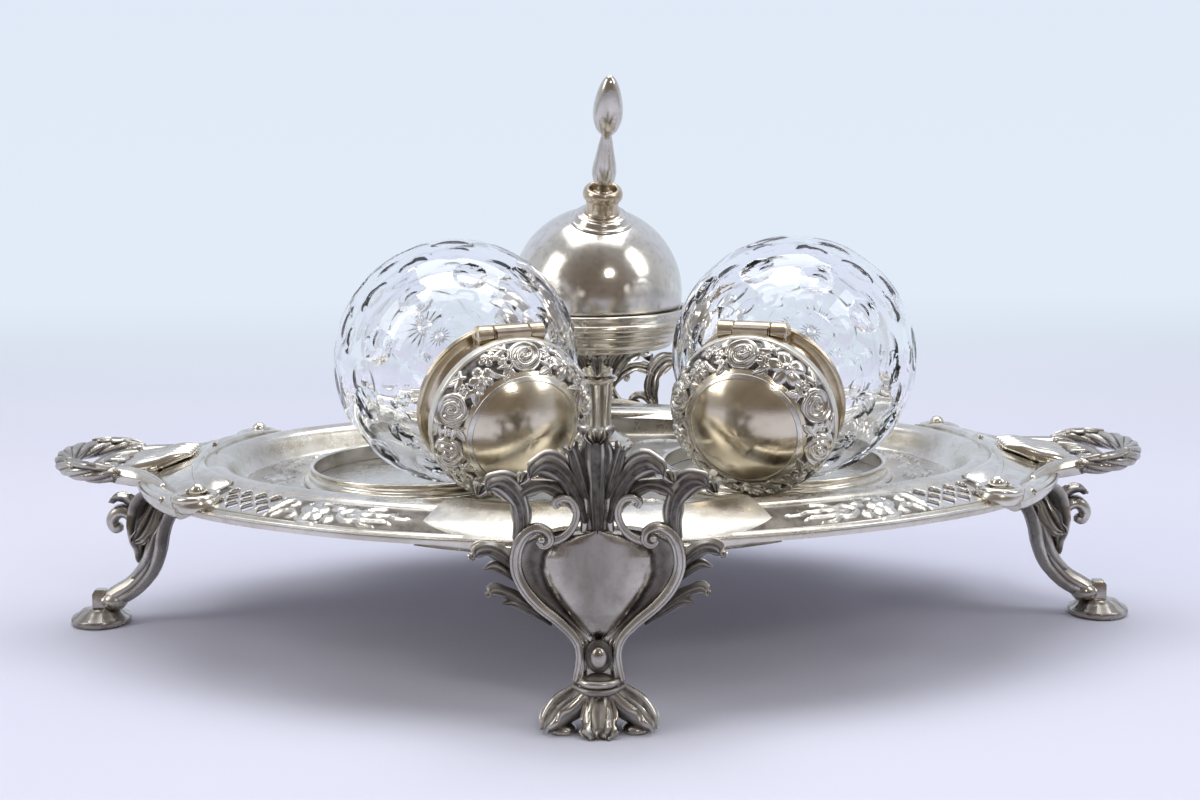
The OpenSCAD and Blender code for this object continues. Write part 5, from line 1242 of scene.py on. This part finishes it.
def end_leg_piece(side, nm):
    m = np.eye(4) if side > 0 else mirror_x()
    p = Part()
    x = END_LEG
    sweep(p, [(x - 7, 0, RIM_Z - 4.4), (x - 3.4, 0, RIM_Z - 8.4), (x - 0.2, 0, RIM_Z - 14),
        (x + 1.2, 0, 29.5), (x + 1.8, 0, 24), (x + 4.2, 0, 17.6), (x + 9, 0, 12.2), (x + 14.6, 0, 8.8),
        (PAD_X - 1.4, 0, 6.4)],
          [5.6, 5.4, 4.9, 4.4, 3.9, 3.7, 3.6, 3.5, 3.2], m, n=8, seg=28, reeds=8, reed=0.1)
    # fluted leaf that hangs over the leg from the rim
    leaf(p, [(x - 1.5, 0, RIM_Z - 5.4), (x + 4.0, 0, RIM_Z - 8.0), (x + 6.4, 0, RIM_Z - 13.2),
        (x + 6.4, 0, 29.6), (x + 5.8, 0, 24.6), (x + 6.4, 0, 21.8)], 7.4, m, side=(0, 1, 0), lobes=3,
        cut=0.16, cup=0.3, veins=6, thick=2.2, nu=44, nv=27, tip=0.4, root=0.8)
    for s in (1, -1):
        leaf(p, [(x - 4, s * 3.4, RIM_Z - 6), (x - 0.5, s * 6.8, RIM_Z - 9.6),
            (x + 1.6, s * 9.0, RIM_Z - 14.2), (x + 4.2, s * 9.9, RIM_Z - 18.4),
            (x + 6.4, s * 9.4, RIM_Z - 20)], 3.6, m, side=(0.7, s * 0.35, 0.5), lobes=3, cut=0.24, veins=4,
            thick=1.6, nu=30, nv=15)
        # spiral beside the knee
        sweep(p, [(x + 1.5, s * 4.0, 30), (x + 3.0, s * 4.6, 25), (x + 4.8, s * 4.2, 20.4),
            (x + 8.8, s * 3.2, 15.6)], [1.2, 1.3, 1.2, 0.7], m, n=6, seg=12)
    # curled hook
    sweep(p, [(x + 3.4, 0, 25.0), (x + 5.6, 0, 29.5), (x + 8.0, 0, 34.2), (x + 10.8, 0, 36.6),
        (x + 13.6, 0, 36.2), (x + 15.2, 0, 33.6), (x + 14.2, 0, 31.2), (x + 12.4, 0, 31.6)],
        [1.5, 1.9, 2.2, 2.3, 2.2, 2.0, 1.8, 1.5], m, n=7, seg=18, flat=1.5, reeds=5, reed=0.14)
    leaf(p, [(x + 4.6, 0, 31), (x + 6.6, 0, 36.6), (x + 9.8, 0, 40.4), (x + 13.4, 0, 41.4),
        (x + 15.6, 0, 40.0)], 4.0, m, side=(0, 1, 0), lobes=2, cut=0.24, veins=4, thick=1.4, nu=28, nv=15)
    # joint above the pad, round pad and square stud
    ball(p, (PAD_X - 4.6, 0, 7.4), (4.2, 4.4, 3.4), m, 24, 14)
    r = PAD_R
    # the grooves on top of the pad are painted darker: painted shade
    pad = lambda A, K, R, Z: (np.where(Z > 1.6, -0.22 * np.abs(np.cos(6 * A)) * (R > 4.2) * (R < r - 0.4),
        0.0), np.where((Z > 1.6) & (R > 4.2), 0.35 + 0.65 * (1 - np.abs(np.cos(6 * A))), 1.0))
    lathe(p, [(0.01, 0.01, 1), (r - 0.9, 0.01, 1), (r - 0.25, 0.5), (r - 0.02, 1.4), (r - 0.25, 2.3),
        (r - 0.9, 2.8), (r - 1.6, 3.2), (r - 3.0, 4.3), (r - 4.6, 4.9), (3.2, 5.3), (0.01, 5.5)],
        m @ move(PAD_X, 0, 0), seg=96, n=4, relief=pad)
    q = [(2.2, 4.6), (2.2, 9.8), (1.5, 11.1)]
    v = [(PAD_X + a * w, b * w, z) for w, z in q for a, b in ((1, 1), (-1, 1), (-1, -1), (1, -1))]
    p.add(v, [(3, 2, 1, 0), (8, 9, 10, 11)] + [(i * 4 + j, i * 4 + (j + 1) % 4, (i + 1) * 4 + (j + 1) % 4,
        (i + 1) * 4 + j) for i in range(2) for j in range(4)], None, m)
    # lug for the screw
    lug = [(a, b, z) for z in (RIM_Z - 7.9, RIM_Z - 1.9) for a,
        b in ((x - 12, -4.6), (x - 1, -4.9), (x - 1, 4.9), (x - 12, 4.6))]
    p.add(lug, [(3, 2, 1, 0), (4, 5, 6, 7)] + [(j, (j + 1) % 4, 4 + (j + 1) % 4, 4 + j) for j in range(4)],
        None, m)
    finish_piece(nm + "_scroll_leg", p, "stand", [nm + "_leg"], CAST, sharp=60)


# ---------------------------------------------------------------- shoulders and handles
SHA = 43.0


def shoulder_piece(side, nm):
    m = move(side * END_X, 0, 0) @ (np.eye(4) if side > 0 else mirror_x())
    p = Part()

    def fan(A, K, R, Z):
        a = np.degrees(A)
        a = np.where(a > 180, a - 360, a)
        top = (Z > RIM_Z + 2.0) | ((R > ER + 17) & (Z > RIM_Z - 1.6))
        w = np.exp(-(a / 15.0) ** 2)
        g = np.abs(np.cos(np.radians(a) * 18))
        o = R - ER
        band = np.clip(1 - np.abs(o - 20.4) / 1.6, 0, 1) * (Z > RIM_Z)
        e = np.clip((np.abs(a) - 16) / 6, 0, 1) * np.clip((SHA - 1 - np.abs(a)) / 5, 0, 1)
        vein = e * np.cos(o * 1.15 + np.abs(a) * 0.11) * (o > 6) * (o < 19)
        h = -0.75 * (1 - g) * w * top * (o > 6) + 0.35 * band - 0.5 * np.exp(-((o - 17.8) / 0.7) ** 2) * top + 0.16 * vein * top
        # painted shade: the fan's grooves, the groove along the rim and the vein troughs are painted darker, and the
        # underside is painted darker still
        tone = np.clip(1.0 - 0.9 * (1 - g) * w * (o > 6) - 0.8 * np.exp(-((o - 17.8) / 0.9) ** 2) - 0.3 * (vein < -0.6),
            0, 1)
        return h, np.where(top, tone, 0.6)

    prof_ = profile([(ER + 3.5, RIM_Z + 0.4, 1), (ER + 12, RIM_Z - 0.6), (ER + 20.4, RIM_Z - 2.7),
        (ER + 22.4, RIM_Z - 2.3), (ER + 23.5, RIM_Z - 0.6), (ER + 23.2, RIM_Z + 1.3),
        (ER + 21.6, RIM_Z + 2.5), (ER + 19, RIM_Z + 2.8), (ER + 15, RIM_Z + 3.9),
                     (ER + 10, RIM_Z + 5.6), (ER + 6, RIDGE_Z + 0.9), (ER + 4.2, RIDGE_Z + 0.9),
                         (ER + 3.5, RIDGE_Z + 0.3, 1), (ER + 3.5, RIM_Z + 0.4)], 7)
    ang = np.linspace(-SHA, SHA, 150)
    A = np.radians(ang)
    pn = np.gradient(prof_, axis=0)
    nr = np.stack([pn[:, 1], -pn[:, 0]], 1) / np.maximum(np.linalg.norm(pn, axis=1), 1e-9)[:, None]
    AA, _ = np.meshgrid(A, np.arange(len(prof_)), indexing="ij")
    R = np.repeat(prof_[None, :, 0], len(A), 0)
    Z = np.repeat(prof_[None, :, 1], len(A), 0)
    h, tone = fan(AA, None, R, Z)
    R, Z = R + h * nr[None, :, 0], Z + h * nr[None, :, 1]
    fade = np.clip((np.abs(np.degrees(AA)) - 33) / 9.5, 0, 1) ** 2
    low = np.interp(R - ER, TOP_LINE[:, 0], TOP_LINE[:, 1]) + 0.5
    Z = np.where(Z > low, Z * (1 - fade) + low * fade, Z)
    v = np.stack([R * np.cos(AA), R * np.sin(AA), Z], -1).reshape(-1, 3)
    n = len(prof_)
    f = grid_faces(len(A), n)
    f += [tuple(range(n - 1, -1, -1)), tuple((len(A) - 1) * n + j for j in range(n))]
    p.add(v, f, tone, m)
    for s in (1, -1):
        q = m @ rot("z", s * SHA) @ move(ER + 15.8, 0, RIM_Z + 0.8)
        q = q if s > 0 else q @ np.diag([1.0, -1.0, 1.0, 1.0])
        # hollow eye of the volute with its inside painted near black as shade, its rolled edge and the ball
        lathe(p, [(0.01, -1.6, 1), (6.6, -1.6, 1), (7.2, -0.4), (7.0, 1.4), (6.2, 2.7), (5.2, 2.5),
            (3.4, 1.7), (0.01, 1.5)], q, seg=52, n=3, relief=lambda A, K, R,
            Z: (0 * R, np.where((Z > 0) & (R < 5.6), 0.12, 1.0)))
        t = np.linspace(0, 1, 30)
        aa = np.radians(-128 + 430 * t)
        rr = 7.5 - 4.4 * t
        sweep(p, np.stack([rr * np.cos(aa), rr * np.sin(aa), 1.5 + 2.0 * t], 1), 1.5 - 0.6 * t, q, n=3,
            seg=16)
        ball(p, (0, 0, 4.0), 2.5, q, 28, 18)
        # rolled edge from the root of the handle to the volute
        aa = np.radians(np.linspace(0, SHA - 7, 12)) * s
        o = ER + np.linspace(23.2, 22.4, 12)
        sweep(p, np.stack([o * np.cos(aa), o * np.sin(aa), np.linspace(RIM_Z + 0.9, RIM_Z + 1.2, 12)], 1),
            np.linspace(1.9, 1.3, 12), m, n=4, seg=14)
        aa = np.radians(np.linspace(9, SHA - 2, 12)) * s
        o = ER + np.linspace(4.4, 11.6, 12) * np.linspace(1, 1.06, 12)
        sweep(p, np.stack([o * np.cos(aa), o * np.sin(aa),
            np.interp(np.linspace(4.4, 11.6, 12), [4, 6, 10, 15],
            [RIDGE_Z + 0.9, RIDGE_Z + 0.9, RIM_Z + 5.6, RIM_Z + 3.9]) + np.linspace(0.2, -1.0, 12)], 1),
            np.linspace(0.8, 0.9, 12), m, n=4, seg=12)
        x = END_LEG - END_X
        sweep(p, [(x + 9.0, s * 15.2, RIM_Z + 3.0), (x + 4.6, s * 17.6, RIM_Z + 2.8),
            (x - 0.5, s * 21.0, RIM_Z + 2.6), (x - 5.6, s * 26.4, RIM_Z + 2.4),
            (x - 9.4, s * 32.0, RIM_Z + 2.6)], [3.1, 3.0, 2.6, 1.9, 0.8], m, n=6, seg=20, reeds=6,
            reed=0.16)
    x = END_LEG - END_X
    for b in (-2, -1, 0, 1, 2):
        sweep(p, [(x + 8.0, b * 4.8, RIM_Z + 2.4), (x + 3.2, b * 4.5, RIM_Z + 3.6),
            (x - 2, b * 4.0, RIM_Z + 4.7), (x - 7, b * 3.5, RIM_Z + 6.4),
            (x - 12, b * 2.9, RIDGE_Z + 1.3)], [2.6, 2.7, 2.5, 2.1, 1.0], m, n=6, seg=16)
    finish_piece(nm + "_end_shell", p, "stand", [nm + "_shoulder"], SILVER, sharp=60)


def handle_piece(side, nm):
    m = np.eye(4) if side > 0 else mirror_x()
    p = Part()
    a = np.radians(np.linspace(-121, 121, 46))
    x = (HANDLE_X - ROPE - 15) + 15 * np.maximum(np.cos(a), -0.4)
    y = (HHW - ROPE) * np.sin(a) * np.where(np.abs(a) > math.pi / 2,
        1 - 0.1 * np.clip((np.abs(a) - math.pi / 2) / 0.3, 0, 1), 1)
    z = RIM_Z + 4 + 1.5 * np.cos(a)
    c = np.stack([x, y, z], 1)
    keep = c[:, 0] > END_LEG + 9.2
    c = c[keep]
    y_end = c[-1, 1]
    c = np.vstack([[END_LEG + 8.9, -y_end, RIM_Z + 3.4], c, [END_LEG + 8.9, y_end, RIM_Z + 3.4]])
    sweep(p, c, np.full(len(c), ROPE - 0.1), m, n=6, seg=36, rope=5, twist=0.42, rope_h=0.3)
    for s in (1, -1):
        k = m @ (np.eye(4) if s > 0 else np.diag([1.0, -1.0, 1.0, 1.0]))
        sweep(p, [(END_LEG + 10.2, 14.6, RIM_Z + 3), (END_LEG + 13.4, 12.6, RIM_Z + 3.2),
            (END_LEG + 16.4, 9.4, RIM_Z + 3.2), (END_LEG + 18.2, 4.6, RIM_Z + 3),
            (END_LEG + 18.5, 0.0, RIM_Z + 3)], [2.1, 2.0, 1.9, 1.9, 1.9], k, n=7, seg=16, reeds=5,
            reed=0.12)
        t = np.linspace(0, 1, 14)
        aa = np.radians(70 + 330 * t)
        rr = 3.6 - 2.2 * t
        sweep(p, np.stack([END_LEG + 14.6 + rr * np.cos(aa), 6.6 - rr * np.sin(aa) * 0.9,
            np.full_like(t, RIM_Z + 3.2)], 1), 1.2 - 0.4 * t, k, n=4, seg=12)
        leaf(p, [(END_LEG + 10, 19.6, RIM_Z + 6.3), (END_LEG + 15, 20.6, RIM_Z + 7.4),
            (END_LEG + 20, 19.0, RIM_Z + 7.9), (END_LEG + 24.4, 15.2, RIM_Z + 8.2)], 3.4, k,
            side=(0.2, 1, 0), lobes=3, cut=0.3, cup=-0.25, veins=4, thick=1.3, nu=26, nv=13)
    finish_piece(nm + "_rope_handle", p, "stand", [nm + "_handle"], CAST, sharp=62)


for side, nm in ((-1, "left"), (1, "right")):
    end_leg_piece(side, nm)
    shoulder_piece(side, nm)
    handle_piece(side, nm)

# ---------------------------------------------------------------- floor, light, camera
scene = bpy.context.scene
pale = bpy.data.materials.new("paper")
pale.use_nodes = True
nt = pale.node_tree
b = nt.nodes["Principled BSDF"]
b.inputs["Roughness"].default_value = 0.75
b.inputs["Specular IOR Level"].default_value = 0.15
tc = node(nt, "ShaderNodeTexCoord")
n = node(nt, "ShaderNodeTexNoise")
n.inputs["Scale"].default_value = 2.2
nt.links.new(tc.outputs["Object"], n.inputs["Vector"])
cr = node(nt, "ShaderNodeValToRGB")
cr.color_ramp.elements[0].position, cr.color_ramp.elements[0].color = 0.3, (0.64, 0.65, 0.775, 1)
cr.color_ramp.elements[1].position, cr.color_ramp.elements[1].color = 0.7, (0.69, 0.70, 0.805, 1)
nt.links.new(n.outputs["Fac"], cr.inputs["Fac"])
nt.links.new(cr.outputs["Color"], b.inputs["Base Color"])
# behind the stand the paper shows its own pale colour to the camera and to metal and glass
sp = node(nt, "ShaderNodeSeparateXYZ")
nt.links.new(tc.outputs["Object"], sp.inputs["Vector"])
far = node(nt, "ShaderNodeMapRange", interpolation_type="SMOOTHSTEP")
far.inputs["From Min"].default_value, far.inputs["From Max"].default_value = 0.12, 0.95
nt.links.new(sp.outputs["Y"], far.inputs["Value"])
up = node(nt, "ShaderNodeValToRGB")
up.color_ramp.elements[0].position, up.color_ramp.elements[0].color = 0.0, (0.76, 0.84, 0.94, 1)
up.color_ramp.elements[1].position, up.color_ramp.elements[1].color = 1.0, (0.73, 0.78, 0.93, 1)
nt.links.new(sp.outputs["Z"], up.inputs["Fac"])
em = node(nt, "ShaderNodeEmission")
nt.links.new(up.outputs["Color"], em.inputs["Color"])
lp = node(nt, "ShaderNodeLightPath")
seen = node(nt, "ShaderNodeMath", operation="MAXIMUM")
nt.links.new(lp.outputs["Is Camera Ray"], seen.inputs[0])
nt.links.new(lp.outputs["Is Glossy Ray"], seen.inputs[1])
seen2 = node(nt, "ShaderNodeMath", operation="MAXIMUM")
nt.links.new(seen.outputs[0], seen2.inputs[0])
nt.links.new(lp.outputs["Is Transmission Ray"], seen2.inputs[1])
fac = node(nt, "ShaderNodeMath", operation="MULTIPLY")
nt.links.new(seen2.outputs[0], fac.inputs[0])
nt.links.new(far.outputs["Result"], fac.inputs[1])
mx = node(nt, "ShaderNodeMixShader")
nt.links.new(fac.outputs[0], mx.inputs["Fac"])
nt.links.new(b.outputs["BSDF"], mx.inputs[1])
nt.links.new(em.outputs["Emission"], mx.inputs[2])
nt.links.new(mx.outputs["Shader"], nt.nodes["Material Output"].inputs["Surface"])
prof = [(-1.6, 0.0), (0.9, 0.0)] + [(0.9 + 0.9 * math.sin(t),
    0.9 - 0.9 * math.cos(t)) for t in np.linspace(0.06, math.pi / 2, 20)] + [(1.8, 2.6)]
vs, fs = [], []
for y, z in prof:
    vs += [(-2.6, y, z), (2.6, y, z)]
for i in range(len(prof) - 1):
    fs.append((2 * i, 2 * i + 1, 2 * i + 3, 2 * i + 2))
me = bpy.data.meshes.new("sweep")
me.from_pydata(vs, [], fs)
me.polygons.foreach_set("use_smooth", [True] * len(me.polygons))
cyc = bpy.data.objects.new("sweep", me)
scene.collection.objects.link(cyc)
me.materials.append(pale)


def area(name, loc, look, size, power, color=(1, 1, 1)):
    d = bpy.data.lights.new(name, "AREA")
    d.shape = "RECTANGLE"
    d.size, d.size_y = size
    d.energy = power
    d.color = color
    o = bpy.data.objects.new(name, d)
    scene.collection.objects.link(o)
    o.location = loc
    o.rotation_euler = (Vector(look) - Vector(loc)).to_track_quat("-Z", "Y").to_euler()
    return o


area("top", (0.0, 0.15, 1.15), (0, 0, 0), (1.1, 0.8), 9.0, (0.97, 0.98, 1.0))
area("left", (-1.1, -0.35, 0.75), (0, 0, 0.05), (0.5, 0.8), 4.0, (1.0, 0.98, 0.95))
area("right", (1.0, -0.3, 0.85), (0, 0, 0.05), (0.4, 0.7), 3.0, (0.97, 0.98, 1.0))
area("front", (0.30, -0.85, 0.62), (0, 0, 0.07), (0.16, 0.12), 0.9, (1.0, 0.98, 0.95))

world = bpy.data.worlds.new("studio")
scene.world = world
world.use_nodes = True
nt = world.node_tree
bg = nt.nodes["Background"]
tc = node(nt, "ShaderNodeTexCoord")
sp = node(nt, "ShaderNodeSeparateXYZ")
nt.links.new(tc.outputs["Generated"], sp.inputs["Vector"])
cr = node(nt, "ShaderNodeValToRGB")
cr.color_ramp.elements[0].position, cr.color_ramp.elements[0].color = 0.10, (0.30, 0.25, 0.21, 1)
cr.color_ramp.elements[1].position, cr.color_ramp.elements[1].color = 0.62, (0.80, 0.83, 0.90, 1)
mr = node(nt, "ShaderNodeMapRange")
mr.inputs["From Min"].default_value, mr.inputs["From Max"].default_value = -1, 1
nt.links.new(sp.outputs["Y"], mr.inputs["Value"])
nt.links.new(mr.outputs["Result"], cr.inputs["Fac"])
nt.links.new(cr.outputs["Color"], bg.inputs["Color"])
bg.inputs["Strength"].default_value = 0.8
# past the edge of the floor the camera sees the pale tone of the sweep, not the dark low half
sky = node(nt, "ShaderNodeBackground")
sky.inputs["Color"].default_value = (0.68, 0.72, 0.85, 1)
lp = node(nt, "ShaderNodeLightPath")
mx = node(nt, "ShaderNodeMixShader")
nt.links.new(lp.outputs["Is Camera Ray"], mx.inputs["Fac"])
nt.links.new(bg.outputs["Background"], mx.inputs[1])
nt.links.new(sky.outputs["Background"], mx.inputs[2])
nt.links.new(mx.outputs["Shader"], nt.nodes["World Output"].inputs["Surface"])

# fitted to the photograph: eye in metres, angles in degrees, focal length in mm
EYE, PITCH, ROLL, LENS, SHIFT_Y = (0.0018, -0.5745, 0.1702), 6.0, 0.55, 54.65, -0.1
cam = bpy.data.cameras.new("camera")
cam.lens = LENS
cam.shift_y = SHIFT_Y
cam.sensor_width = 36
co = bpy.data.objects.new("camera", cam)
scene.collection.objects.link(co)
co.location = EYE
co.rotation_euler = (math.radians(90 - PITCH), math.radians(ROLL), 0)
scene.camera = co
scene.view_settings.view_transform = "Standard"
